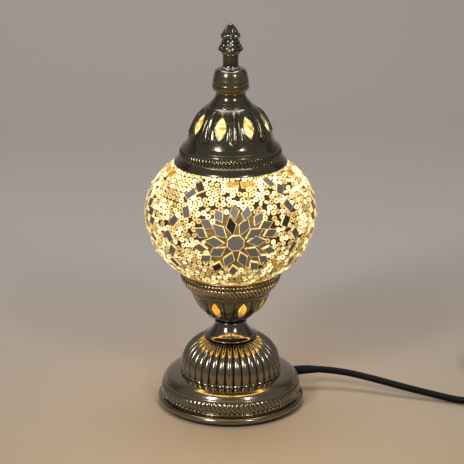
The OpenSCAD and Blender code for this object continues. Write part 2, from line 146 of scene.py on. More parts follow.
def circle(middle: Point2, radius: float, start: float, end: float, parts: int) -> list[Point2]:
    """Points along an arc.

    Args:
        middle: the arc's middle, as (radius, height).
        radius: the arc's own radius.
        start: the angle where it starts, in degrees.
        end: the angle where it ends, in degrees.
        parts: how many stretches it has.

    Returns:
        The points, with both ends.
    """
    angles = [math.radians(start + (end - start) * k / parts) for k in range(parts + 1)]
    return [(middle[0] + radius * math.cos(a), middle[1] + radius * math.sin(a)) for a in angles]


def lathe(line: Sequence[Point2], columns: int) -> bmesh.types.BMesh:
    """Spins an outline round the lamp's axis.

    Args:
        line: outline points as (radius, height), from the bottom up for an outside.
        columns: how many faces go round.

    Returns:
        A mesh in millimetres, closed round the axis.
    """
    bm = bmesh.new()
    verts = [bm.verts.new((r, 0, z)) for r, z in line]
    edges = [bm.edges.new(pair) for pair in zip(verts, verts[1:])]
    bmesh.ops.spin(bm, geom=verts + edges, axis=(0, 0, 1), cent=(0, 0, 0), steps=columns,
                   angle=TAU, use_merge=True)
    bmesh.ops.remove_doubles(bm, verts=bm.verts, dist=1e-4)
    return bm


def emboss(bm: bmesh.types.BMesh, rule: Rule, patina_shade: Optional[Rule] = None) -> None:
    """Moves each point along its normal.

    Args:
        bm: the mesh.
        rule: the move for a radius, an azimuth in degrees and a height.
        patina_shade: how much black patina and painted shade a point holds, from 0 to 1.
    """
    bmesh.ops.recalc_face_normals(bm, faces=bm.faces)
    bm.normal_update()
    moves = []
    layer = bm.verts.layers.float.new("patina_shade") if patina_shade else None
    for v in bm.verts:
        place = (math.hypot(v.co.x, v.co.y), azimuth_of(v.co), v.co.z)
        moves.append(v.normal * rule(*place))
        if patina_shade:
            v[layer] = min(1.0, max(0.0, patina_shade(*place)))
    for v, move in zip(bm.verts, moves):
        v.co += move


def turn_points(bm: bmesh.types.BMesh, rule: Rule) -> None:
    """Slides each point round the axis.

    Args:
        bm: the mesh.
        rule: the new azimuth, in degrees, for a radius, an azimuth and a height.
    """
    for v in bm.verts:
        radius = math.hypot(v.co.x, v.co.y)
        v.co = around(radius, rule(radius, azimuth_of(v.co), v.co.z), v.co.z)


def paint_faces(bm: bmesh.types.BMesh, index: int, test: Callable[[Vector], bool]) -> None:
    """Gives a material index to some faces.

    Args:
        bm: the mesh.
        index: the material index.
        test: whether a face gets it, from the face's middle.
    """
    for face in bm.faces:
        if test(face.calc_center_median()):
            face.material_index = index


def ball(bm: bmesh.types.BMesh, middle: Vector, radius: float, stretch: float = 1.0) -> None:
    """Adds a small round bead.

    Args:
        bm: the mesh that it is added to.
        middle: its middle.
        radius: its radius.
        stretch: its height over its width.
    """
    made = bmesh.ops.create_icosphere(bm, subdivisions=2, radius=radius)["verts"]
    bmesh.ops.scale(bm, verts=made, vec=(1, 1, stretch))
    bmesh.ops.translate(bm, verts=made, vec=middle)


def slab(size: Vector, corner: float, edge: float) -> bmesh.types.BMesh:
    """A moulded block, its middle at the origin.

    Args:
        size: its length, width and height.
        corner: the radius of its upright corners.
        edge: the radius of its other edges.

    Returns:
        The block's mesh.
    """
    bm = bmesh.new()
    bmesh.ops.create_cube(bm, size=1)
    bmesh.ops.scale(bm, verts=bm.verts, vec=size)
    upright = [e for e in bm.edges if abs((e.verts[0].co - e.verts[1].co).z) > size.z / 2]
    bmesh.ops.bevel(bm, geom=upright, offset=corner, segments=6, profile=0.5,
                    affect="EDGES", material=-1)
    rims = [e for e in bm.edges if e.calc_face_angle(0) > math.radians(60)]
    bmesh.ops.bevel(bm, geom=rims, offset=edge, segments=3, profile=0.5,
                    affect="EDGES", material=-1)
    return bm


def catmull(route: Sequence[Vector], per_leg: int) -> list[Vector]:
    """A smooth line through the points of a route.

    Args:
        route: the points.
        per_leg: how many stretches each leg between two points gets.

    Returns:
        The line's points, with both ends.
    """
    out = []
    for i in range(len(route) - 1):
        a, b = route[max(i - 1, 0)], route[i]
        c, d = route[i + 1], route[min(i + 2, len(route) - 1)]
        for k in range(per_leg):
            t = k / per_leg
            out.append(0.5 * (2 * b + (c - a) * t + (2 * a - 5 * b + 4 * c - d) * t * t
                              + (3 * b - a - 3 * c + d) * t ** 3))
    out.append(route[-1])
    return out


def tree_of(points: Sequence[Vector]) -> kdtree.KDTree:
    """A search tree over points, each under its place in the list."""
    tree = kdtree.KDTree(len(points))
    for i, point in enumerate(points):
        tree.insert(point, i)
    tree.balance()
    return tree


def add_object(name: str, data: bpy.types.ID) -> bpy.types.Object:
    """Puts an object with its data in the scene, at the origin."""
    made = bpy.data.objects.new(name, data)
    bpy.context.scene.collection.objects.link(made)
    return made


def finish_piece(bm: bmesh.types.BMesh, name: str, body: Body,
                 dress: Sequence[bpy.types.Material], stands_for: Iterable[str] = (),
                 recalc: bool = True) -> bpy.types.Object:
    """Turns a millimetre mesh into a finished piece of the lamp.

    Args:
        bm: the mesh, which is freed.
        name: the piece's name.
        body: the body it rides on.
        dress: its materials, by material index.
        stands_for: the CAD nodes that it replaces.
        recalc: whether to point all faces outwards.

    Returns:
        The new object, at the origin.
    """
    if recalc:
        bmesh.ops.recalc_face_normals(bm, faces=bm.faces)
    bmesh.ops.scale(bm, verts=bm.verts, vec=(MM, MM, MM))
    mesh = bpy.data.meshes.new(name)
    bm.to_mesh(mesh)
    bm.free()
    mesh.shade_smooth()
    mesh.set_sharp_from_angle(angle=math.radians(42))
    for material in dress:
        mesh.materials.append(material)
    piece = add_object(name, mesh)
    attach(piece, body.value)
    nodes = list(stands_for)
    if nodes:
        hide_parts(*nodes)
    LOG.info("%s: %d faces", name, len(mesh.polygons))
    return piece


def thicken(piece: bpy.types.Object, wall: float, lining: int = 0) -> None:
    """Gives a sheet piece its wall, inwards.

    Args:
        piece: the piece.
        wall: the wall's thickness, in millimetres.
        lining: how far the inside's material index lies past the outside's.
    """
    solid = piece.modifiers.new("wall", "SOLIDIFY")
    solid.thickness = wall * MM
    solid.offset = -1
    solid.use_even_offset = False
    solid.material_offset = lining


# ---------------------------------------------------------------- node sheets


class Sheet:
    """Writes one node tree: a node per call, with its inputs given by name."""

    def __init__(self, tree: bpy.types.NodeTree) -> None:
        """Keeps the tree that is written."""
        self.tree = tree

    def add(self, kind: str, setup: Optional[dict] = None, **inputs: Source) -> bpy.types.Node:
        """Adds a node.

        Args:
            kind: the node's type, without its ShaderNode start.
            setup: properties of the node itself.
            inputs: socket names, with _ for a space, and a value or a socket to link.

        Returns:
            The new node.
        """
        node = self.tree.nodes.new("ShaderNode" + kind)
        for key, value in (setup or {}).items():
            setattr(node, key, value)
        for key, value in inputs.items():
            self.feed(node, key.replace("_", " "), value)
        return node

    def feed(self, node: bpy.types.Node, socket: Union[str, int], value: Source) -> None:
        """Links a socket to an input, or sets the input's own value.

        Args:
            node: the node.
            socket: the input's name or place.
            value: what it gets.
        """
        target = node.inputs[socket]
        if isinstance(value, bpy.types.NodeSocket):
            self.tree.links.new(value, target)
        elif isinstance(value, tuple) and len(value) == 3 and target.type == "RGBA":
            target.default_value = (*value, 1.0)
        else:
            target.default_value = value

    def math(self, operation: str, first: Source, second: Source,
             clamp: bool = False) -> bpy.types.NodeSocket:
        """Works out one sum.

        Args:
            operation: the Math node's operation.
            first: its first value.
            second: its second value.
            clamp: whether the result is held between 0 and 1.

        Returns:
            The result's socket.
        """
        node = self.add("Math", {"operation": operation, "use_clamp": clamp})
        self.feed(node, 0, first)
        self.feed(node, 1, second)
        return node.outputs[0]

    def past(self, value: Source, start: float, gain: float) -> bpy.types.NodeSocket:
        """How far a value is past a start, times a gain, held between 0 and 1."""
        return self.math("MULTIPLY", self.math("SUBTRACT", value, start), gain, True)

    def weigh(self, *terms: tuple[Source, float]) -> bpy.types.NodeSocket:
        """The sum of some values, each times its weight."""
        parts = [self.math("MULTIPLY", value, weight) for value, weight in terms]
        total = parts[0]
        for part in parts[1:]:
            total = self.math("ADD", total, part)
        return total

    def mix(self, factor: Source, first: Source, second: Source,
            blend: str = "MIX") -> bpy.types.NodeSocket:
        """The output of a colour mix."""
        node = self.add("MixRGB", {"blend_type": blend}, Fac=factor, Color1=first, Color2=second)
        return node.outputs[0]

    def ramp(self, factor: Source,
             stops: Sequence[tuple[float, Colour]]) -> bpy.types.NodeSocket:
        """Turns a value into a colour.

        Args:
            factor: the value.
            stops: places along the ramp and their colours.

        Returns:
            The colour's socket.
        """
        node = self.add("ValToRGB", Fac=factor)
        ramp = node.color_ramp
        while len(ramp.elements) < len(stops):
            ramp.elements.new(0.5)
        for element, (place, colour) in zip(ramp.elements, stops):
            element.position = place
            element.color = (*colour, 1.0)
        return node.outputs["Color"]

    def place(self) -> bpy.types.NodeSocket:
        """The place in object space."""
        return self.add("TexCoord").outputs["Object"]

    def attribute(self, name: str) -> bpy.types.NodeSocket:
        """The number that the piece's points hold under a name."""
        return self.add("Attribute", {"attribute_name": name}).outputs["Fac"]

    def noise(self, scale: Source, detail: float = 3.0,
              rough: float = 0.55) -> bpy.types.NodeSocket:
        """The height of a noise pattern in object space, scale in patches a metre."""
        made = self.add("TexNoise", Scale=scale, Detail=detail, Roughness=rough,
                        Vector=self.place())
        return made.outputs[0]

    def bump(self, height: Source, strength: float, depth: float) -> bpy.types.NodeSocket:
        """The normal of a bump, its depth in metres."""
        node = self.add("Bump", Strength=strength, Distance=depth, Height=height)
        return node.outputs[0]


def new_group(name: str, inputs: dict[str, Union[float, Colour]], outputs: dict[str, str]
              ) -> tuple[Sheet, bpy.types.Node, bpy.types.Node]:
    """Starts a shared node group.

    Args:
        name: the group's name.
        inputs: its inputs and their usual values.
        outputs: its outputs and their kinds.

    Returns:
        Its sheet, its input node and its output node.
    """
    tree = bpy.data.node_groups.new(name, "ShaderNodeTree")
    for key, value in inputs.items():
        kind = "NodeSocketColor" if isinstance(value, tuple) else "NodeSocketFloat"
        made = tree.interface.new_socket(key, in_out="INPUT", socket_type=kind)
        made.default_value = (*value, 1.0) if isinstance(value, tuple) else value
    for key, kind in outputs.items():
        tree.interface.new_socket(key, in_out="OUTPUT", socket_type=kind)
    return Sheet(tree), tree.nodes.new("NodeGroupInput"), tree.nodes.new("NodeGroupOutput")


class Effects:
    """Node groups that several finishes share, each built once."""

    def __init__(self) -> None:
        """Builds each group once."""
        self.wear = self._wear()
        self.grain = self._grain()
        self.dust = self._dust()

    @staticmethod
    def _wear() -> bpy.types.NodeTree:
        """Rubbed edges, cloudy lacquer, and hollows darkened as patina and painted shade."""
        s, start, end = new_group(
            "rubbed_and_hollow_shaded_metal", {"Base": (0.2, 0.2, 0.2), "Rubbed": (0.5, 0.4, 0.2),
                             "Hollow": (0.02, 0.02, 0.02), "Rough": 0.25, "Amount": 1.0},
            {"Color": "NodeSocketColor", "Roughness": "NodeSocketFloat"})
        edge = s.add("NewGeometry").outputs["Pointiness"]
        cloud, fine = s.noise(160, 4.0), s.noise(900, 2.0)
        high = s.math("MULTIPLY", s.past(edge, 0.515, 14.0), start.outputs["Amount"], True)
        # Patina and painted shade: places of low pointiness, in the hollows, darken towards the
        # hollow colour.
        low = s.math("MULTIPLY", s.past(edge, 0.487, -18.0), start.outputs["Amount"], True)
        cloudy = s.mix(s.math("MULTIPLY", cloud, 0.35), start.outputs["Base"],
                       start.outputs["Rubbed"])
        worn = s.mix(s.math("MULTIPLY", high, 0.6), cloudy, start.outputs["Rubbed"])
        deep = s.mix(s.math("MULTIPLY", low, 0.75), worn, start.outputs["Hollow"])
        s.feed(end, "Color", deep)
        s.feed(end, "Roughness", s.weigh((start.outputs["Rough"], 1.0), (fine, 0.06), (low, 0.25)))
        return s.tree

    @staticmethod
    def _grain() -> bpy.types.NodeTree:
        """A fine height pattern, for castings, mouldings and rubber."""
        s, start, end = new_group("fine_grain", {"Scale": 1500.0, "Second": 200.0},
                                  {"Height": "NodeSocketFloat"})
        small = s.noise(start.outputs["Scale"], 2.0, 0.5)
        large = s.noise(start.outputs["Second"], 2.0, 0.5)
        s.feed(end, "Height", s.weigh((small, 0.6), (large, 0.4)))
        return s.tree

    @staticmethod
    def _dust() -> bpy.types.NodeTree:
        """Light dust that settles on faces that look up."""
        s, start, end = new_group("settled_dust", {"Base": (0.1, 0.1, 0.1), "Amount": 0.1},
                                  {"Color": "NodeSocketColor"})
        up = s.add("SeparateXYZ", Vector=s.add("NewGeometry").outputs["Normal"]).outputs["Z"]
        patch = s.math("MULTIPLY", s.math("MAXIMUM", up, 0.0), s.noise(300, 5.0, 0.7))
        amount = s.math("MULTIPLY", patch, start.outputs["Amount"], True)
        s.feed(end, "Color", s.mix(amount, start.outputs["Base"], (0.55, 0.5, 0.44)))
        return s.tree


def new_material(name: str) -> tuple[bpy.types.Material, Sheet, bpy.types.Node]:
    """Starts a material.

    Args:
        name: its name.

    Returns:
        The material, its sheet and its Principled shader.
    """
    material = bpy.data.materials.new(name)
    material.use_nodes = True
    sheet = Sheet(material.node_tree)
    return material, sheet, material.node_tree.nodes["Principled BSDF"]


def fix(shader: bpy.types.Node, **values: float) -> None:
    """Sets the shader's constant inputs, named with _ for a space."""
    for key, value in values.items():
        shader.inputs[key.replace("_", " ")].default_value = value


def place_group(sheet: Sheet, tree: bpy.types.NodeTree, **inputs: Source) -> bpy.types.Node:
    """Puts a shared group in a material.

    Args:
        sheet: the material's sheet.
        tree: the group.
        inputs: the group's inputs, by name, with their own values here.

    Returns:
        The group's node.
    """
    node = sheet.tree.nodes.new("ShaderNodeGroup")
    node.node_tree = tree
    for key, value in inputs.items():
        sheet.feed(node, key, value)
    return node


@dataclass(frozen=True)
class Finish:
    """A named finish. Each kind of finish says how it dresses the shader."""

    name: str

    def dress(self, s: Sheet, shader: bpy.types.Node, effects: Effects) -> None:
        """Feeds the shader.

        Args:
            s: the material's sheet.
            shader: the material's Principled shader.
            effects: the shared node groups.
        """
        raise NotImplementedError

    def make(self, effects: Effects) -> bpy.types.Material:
        """Builds the finish's material from the shared node groups."""
        material, sheet, shader = new_material(self.name)
        self.dress(sheet, shader, effects)
        return material


@dataclass(frozen=True)
class Metal(Finish):
    """A plated or bare metal with lacquer, wear and a fine texture."""

    base: Colour
    rubbed: Colour
    rough: float = 0.24
    wear: float = 1.0
    coat: float = 0.35
    bump: float = 0.05

    def dress(self, s: Sheet, shader: bpy.types.Node, effects: Effects) -> None:
        """Feeds the shader."""
        # The hollow colour, for patina and painted shade in concave places.
        dark = tuple(c * 0.22 for c in self.base)
        wear = place_group(s, effects.wear, Base=self.base, Rubbed=self.rubbed, Hollow=dark,
                           Rough=self.rough, Amount=self.wear)
        dusty = place_group(s, effects.dust, Base=wear.outputs["Color"], Amount=0.10)
        grain = place_group(s, effects.grain, Scale=1400.0, Second=260.0)
        # Black patina and painted shade in the hollows: the soot numbers darken the colour,
        # roughen it and take away the coat.
        patina_shade = s.attribute("patina_shade")
        outside_patina_shade = s.math("SUBTRACT", 1.0, patina_shade)
        s.feed(shader, "Base Color", s.mix(patina_shade, dusty.outputs["Color"], (0.006, 0.005, 0.004)))
        s.feed(shader, "Roughness", s.weigh((wear.outputs["Roughness"], 1.0), (patina_shade, 0.35)))
        s.feed(shader, "Coat Weight", s.math("MULTIPLY", outside_patina_shade, self.coat))
        s.feed(shader, "Normal", s.bump(grain.outputs["Height"], self.bump, 0.0004))
        fix(shader, Metallic=1.0, Coat_Roughness=0.05)


@dataclass(frozen=True)
class LitBrass(Finish):
    """Bare brass inside the lamp, with the bulb's light on it painted in as a glow."""

    glow: float = 1.0
    tint: Colour = (1.0, 1.0, 1.0)

    def dress(self, s: Sheet, shader: bpy.types.Node, effects: Effects) -> None:
        """Feeds the shader."""
        patch = s.noise(330, 3.0, 0.6)
        light = s.ramp(patch, [(0.38, (0.42, 0.17, 0.008)), (0.45, (0.76, 0.42, 0.03)),
                               (0.50, (0.92, 0.78, 0.26)), (0.58, (1.0, 0.97, 0.70))])
        grain = place_group(s, effects.grain, Scale=900.0, Second=200.0)
        s.feed(shader, "Base Color", s.mix(patch, (0.55, 0.30, 0.08), (0.85, 0.62, 0.26)))
        s.feed(shader, "Emission Color", s.mix(1.0, light, self.tint, "MULTIPLY"))
        s.feed(shader, "Normal", s.bump(grain.outputs["Height"], 0.4, 0.0006))
        fix(shader, Metallic=0.8, Roughness=0.4, Emission_Strength=self.glow)


@dataclass(frozen=True)
class Moulding(Finish):
    """Moulded plastic or rubber with a fine grain and settled dust."""

    base: Colour
    rough: float = 0.4
    grain: float = 1800.0
    bump: float = 0.15
    dust: float = 0.25
    coat: float = 0.0
    gloss: float = 0.5

    def dress(self, s: Sheet, shader: bpy.types.Node, effects: Effects) -> None:
        """Feeds the shader."""
        dusty = place_group(s, effects.dust, Base=self.base, Amount=self.dust)
        grain = place_group(s, effects.grain, Scale=self.grain, Second=self.grain / 7)
        rough = s.math("ADD", self.rough - 0.06, s.math("MULTIPLY", grain.outputs["Height"], 0.12))
        s.feed(shader, "Base Color", dusty.outputs["Color"])
        s.feed(shader, "Roughness", rough)
        s.feed(shader, "Normal", s.bump(grain.outputs["Height"], self.bump, 0.0003))
        fix(shader, Coat_Weight=self.coat, Specular_IOR_Level=self.gloss)


@dataclass(frozen=True)
class ClearGlass(Finish):
    """Blown glass, a little uneven."""

    tint: Colour
    rough: float = 0.03
    # The glow paints the bulb's light caught in the glass.
    glow: float = 0.0
    glow_tint: Colour = (1.0, 0.8, 0.4)

    def dress(self, s: Sheet, shader: bpy.types.Node, effects: Effects) -> None:
        """Feeds the shader."""
        streak = s.noise(60, 2.0)
        s.feed(shader, "Base Color", s.mix(streak, self.tint, tuple(c * 0.93 for c in self.tint)))
        s.feed(shader, "Normal", s.bump(streak, 0.12, 0.002))
        s.feed(shader, "Emission Color", self.glow_tint)
        fix(shader, Transmission_Weight=1.0, Roughness=self.rough, IOR=1.5,
            Emission_Strength=self.glow)


@dataclass(frozen=True)
class BeadGlass(Finish):
    """Opaque seed bead glass lit from behind: bright on top, gold towards its foot."""

    stops: tuple[tuple[float, Colour], ...]
    strength: float = 1.0

    def dress(self, s: Sheet, shader: bpy.types.Node, effects: Effects) -> None:
        """Feeds the shader."""
        height, tone, cloud = s.attribute("lift"), s.attribute("tone"), s.noise(700, 2.0)
        # Painted shade: beads glow less lower on the globe, and the ramp's dark low end darkens
        # each bead towards its foot.
        lit = s.past(s.add("SeparateXYZ", Vector=s.place()).outputs["Z"], 0.128, 9.0)
        level = s.weigh((height, 1.0), (s.math("SUBTRACT", tone, 0.5), 0.50),
                        (s.math("SUBTRACT", cloud, 0.5), 0.35),
                        (s.math("SUBTRACT", lit, 1.0), 0.30))
        s.feed(shader, "Emission Color", s.ramp(level, self.stops))
        s.feed(shader, "Base Color", s.mix(tone, (0.46, 0.34, 0.16), (0.52, 0.46, 0.34)))
        s.feed(shader, "Normal", s.bump(cloud, 0.25, 0.0005))
        fix(shader, Roughness=0.25, Coat_Weight=0.2, Emission_Strength=self.strength)


@dataclass(frozen=True)
class Grout(Finish):
    """Mosaic cement that glows brown and gold between the beads, drawn darker with painted shade
    where the beads crowd it.
    """

    def dress(self, s: Sheet, shader: bpy.types.Node, effects: Effects) -> None:
        """Feeds the shader."""
        broad, fine = s.noise(110, 3.0, 0.6), s.noise(900, 3.0, 0.6)
        level, unshaded = s.weigh((broad, 0.65), (fine, 0.35)), s.attribute("unshaded")
        light = s.ramp(level, [(0.34, (0.012, 0.005, 0.001)), (0.47, (0.050, 0.026, 0.006)),
                               (0.56, (0.125, 0.070, 0.016)), (0.70, (0.30, 0.18, 0.05))])
        # Painted shade: grout among the beads is darker and glows less than the open grout round
        # the stars.
        shaded_grout = s.mix(fine, (0.030, 0.016, 0.005), (0.075, 0.045, 0.014))
        open_face = s.mix(fine, (0.07, 0.046, 0.018), (0.16, 0.115, 0.055))
        s.feed(shader, "Base Color", s.mix(unshaded, shaded_grout, open_face))
        s.feed(shader, "Emission Color", light)
        s.feed(shader, "Normal", s.bump(fine, 0.7, 0.0008))
        s.feed(shader, "Emission Strength", s.math("ADD", 0.16, s.math("MULTIPLY", unshaded, 0.86)))
        fix(shader, Roughness=0.8, Specular_IOR_Level=0.25)


@dataclass(frozen=True)
class MirrorTile(Finish):
    """Silvered tile face, hazy and finely pitted, its shade different on each tile, with a painted
    gold glow of the beads' light at grazing angles.
    """

    def dress(self, s: Sheet, shader: bpy.types.Node, effects: Effects) -> None:
        """Feeds the shader."""
        haze, pits = s.noise(420, 4.0, 0.65), s.noise(2600, 3.0, 0.7)
        tone = s.attribute("tone")
        face = s.ramp(tone, [(0.05, (0.022, 0.013, 0.006)), (0.2, (0.12, 0.11, 0.10)),
                             (0.6, (0.20, 0.195, 0.20)), (1.0, (0.30, 0.295, 0.30))])
        dim = s.mix(1.0, face, (0.55, 0.55, 0.55), "MULTIPLY")
        level = s.weigh((haze, 0.5), (pits, 0.5))
        s.feed(shader, "Base Color", s.mix(level, dim, face))
        s.feed(shader, "Roughness", s.math("ADD", 0.25, s.math("MULTIPLY", haze, 0.4)))
        s.feed(shader, "Normal", s.bump(level, 0.35, 0.0004))
        # Painted light: a gold glow from the nearby beads on faces seen edge-on.
        slant = s.add("LayerWeight", Blend=0.5).outputs["Facing"]
        painted_bead_glow = s.ramp(slant, [(0.66, (0.0, 0.0, 0.0)), (0.88, (0.32, 0.23, 0.08))])
        s.feed(shader, "Emission Color", painted_bead_glow)
        fix(shader, Emission_Strength=1.0, Metallic=0.35, Coat_Weight=0.15)


@dataclass(frozen=True)
class GlowEdge(Finish):
    """Ground glass edge or tinted tile that the light inside turns bright."""

    low: Colour
    high: Colour
    strength: float

    def dress(self, s: Sheet, shader: bpy.types.Node, effects: Effects) -> None:
        """Feeds the shader."""
        patch, chips = s.noise(240, 3.0, 0.6), s.noise(1300, 3.0, 0.65)
        level = s.weigh((patch, 0.6), (chips, 0.4))
        tint = s.mix(s.past(level, 0.36, 3.6), self.low, self.high)
        s.feed(shader, "Emission Color", tint)
        s.feed(shader, "Base Color", tint)
        s.feed(shader, "Normal", s.bump(level, 0.5, 0.0006))
        fix(shader, Roughness=0.25, Emission_Strength=self.strength)


class Finishes:
    """Every material of the lamp, by name."""

    def __init__(self) -> None:
        """Makes every material, and leaves the smallest glowing ones out of the light search."""
        effects = Effects()
        warm_white = ((0.0, (0.014, 0.006, 0.001)), (0.42, (0.14, 0.072, 0.008)),
                      (0.62, (0.72, 0.54, 0.14)), (0.79, (1.0, 0.95, 0.62)))
        amber = ((0.0, (0.04, 0.012, 0.001)), (0.35, (0.20, 0.09, 0.006)),
                 (0.70, (0.52, 0.30, 0.03)), (1.0, (0.78, 0.56, 0.10)))
        made = [
            Metal("antique_bronze", (0.115, 0.097, 0.064), (0.32, 0.26, 0.14), 0.15, 0.6, 1.0),
            # Painted light and shade: foot_bronze_lit_copy is the antique bronze made lighter for
            # the foot, which catches more light, and cap_bronze_shaded_copy is it made darker for
            # the cap.
            Metal("foot_bronze_lit_copy", (0.198, 0.172, 0.120), (0.36, 0.30, 0.17), 0.16, 0.6, 1.0),
            Metal("cap_bronze_shaded_copy", (0.092, 0.078, 0.052), (0.30, 0.25, 0.14), 0.15, 0.6, 0.8),
            Metal("dark_bronze", (0.100, 0.092, 0.080), (0.28, 0.25, 0.20), 0.12, 0.6, 1.0),
            Metal("soft_brass", (0.36, 0.25, 0.08), (0.66, 0.48, 0.20), 0.22),
            Metal("zinc_plate", (0.55, 0.55, 0.53), (0.72, 0.72, 0.70), 0.3, 0.6, 0.0),
            Metal("turned_brass", (0.55, 0.38, 0.16), (0.80, 0.62, 0.30), 0.3, 0.8, 0.0),
            Metal("nickel_pin", (0.62, 0.60, 0.55), (0.80, 0.77, 0.70), 0.22, 0.6, 0.0),
            Metal("rubbed_bronze", (0.42, 0.37, 0.25), (0.66, 0.58, 0.40), 0.18),
            Metal("olive_bronze", (0.150, 0.128, 0.075), (0.42, 0.34, 0.18), 0.17, 0.6, 1.0),
            LitBrass("lit_brass_lining"),
            LitBrass("lit_amber_lining", 0.68, (0.95, 0.60, 0.18)),
            Moulding("foam_pad", (0.018, 0.018, 0.018), 0.85, 900.0, 0.6, 0.3),
            Moulding("rubber_ring", (0.02, 0.02, 0.02), 0.6, 1500.0, 0.3, 0.2),
            Moulding("flex_sheath", (0.004, 0.004, 0.0045), 0.45, 2200.0, 0.05, 0.0, 0.0, 0.10),
            Moulding("switch_shell", (0.014, 0.014, 0.015), 0.42, 2600.0, 0.35, 0.2),
            Moulding("rocker_shell", (0.03, 0.03, 0.032), 0.22, 2600.0, 0.08, 0.1, 0.3),
            Moulding("plug_shell", (0.013, 0.013, 0.014), 0.46, 2400.0, 0.4, 0.2),
            Moulding("glazed_core", (0.80, 0.79, 0.74), 0.18, 700.0, 0.06, 0.2, 0.5),
            Moulding("black_glass", (0.01, 0.01, 0.012), 0.1, 900.0, 0.04, 0.1, 0.4),
            ClearGlass("bulb_clear", (0.99, 0.96, 0.88), 0.0, 0.10),
            ClearGlass("stem_glass", (0.92, 0.95, 0.92), 0.05),
            ClearGlass("globe_blown_glass", (0.98, 0.90, 0.70), 0.08, 0.12),
            BeadGlass("cream_bead", warm_white),
            BeadGlass("amber_bead", amber),
            Grout("glowing_grout"),
            MirrorTile("mirror_face"),
            GlowEdge("gold_edge", (0.30, 0.19, 0.045), (0.95, 0.80, 0.38), 0.85),
            GlowEdge("amber_tile_face", (0.10, 0.035, 0.003), (0.80, 0.42, 0.05), 0.65),
            GlowEdge("filament_lit", (1.0, 0.62, 0.22), (1.0, 0.80, 0.45), 7.0),
        ]
        self.by_name = {finish.name: finish.make(effects) for finish in made}
        for name in ("filament_lit", "cream_bead", "amber_bead", "gold_edge"):
            self.by_name[name].cycles.emission_sampling = "NONE"

    def __getitem__(self, name: str) -> bpy.types.Material:
        """The material of a finish."""
        return self.by_name[name]


# ---------------------------------------------------------------- stage


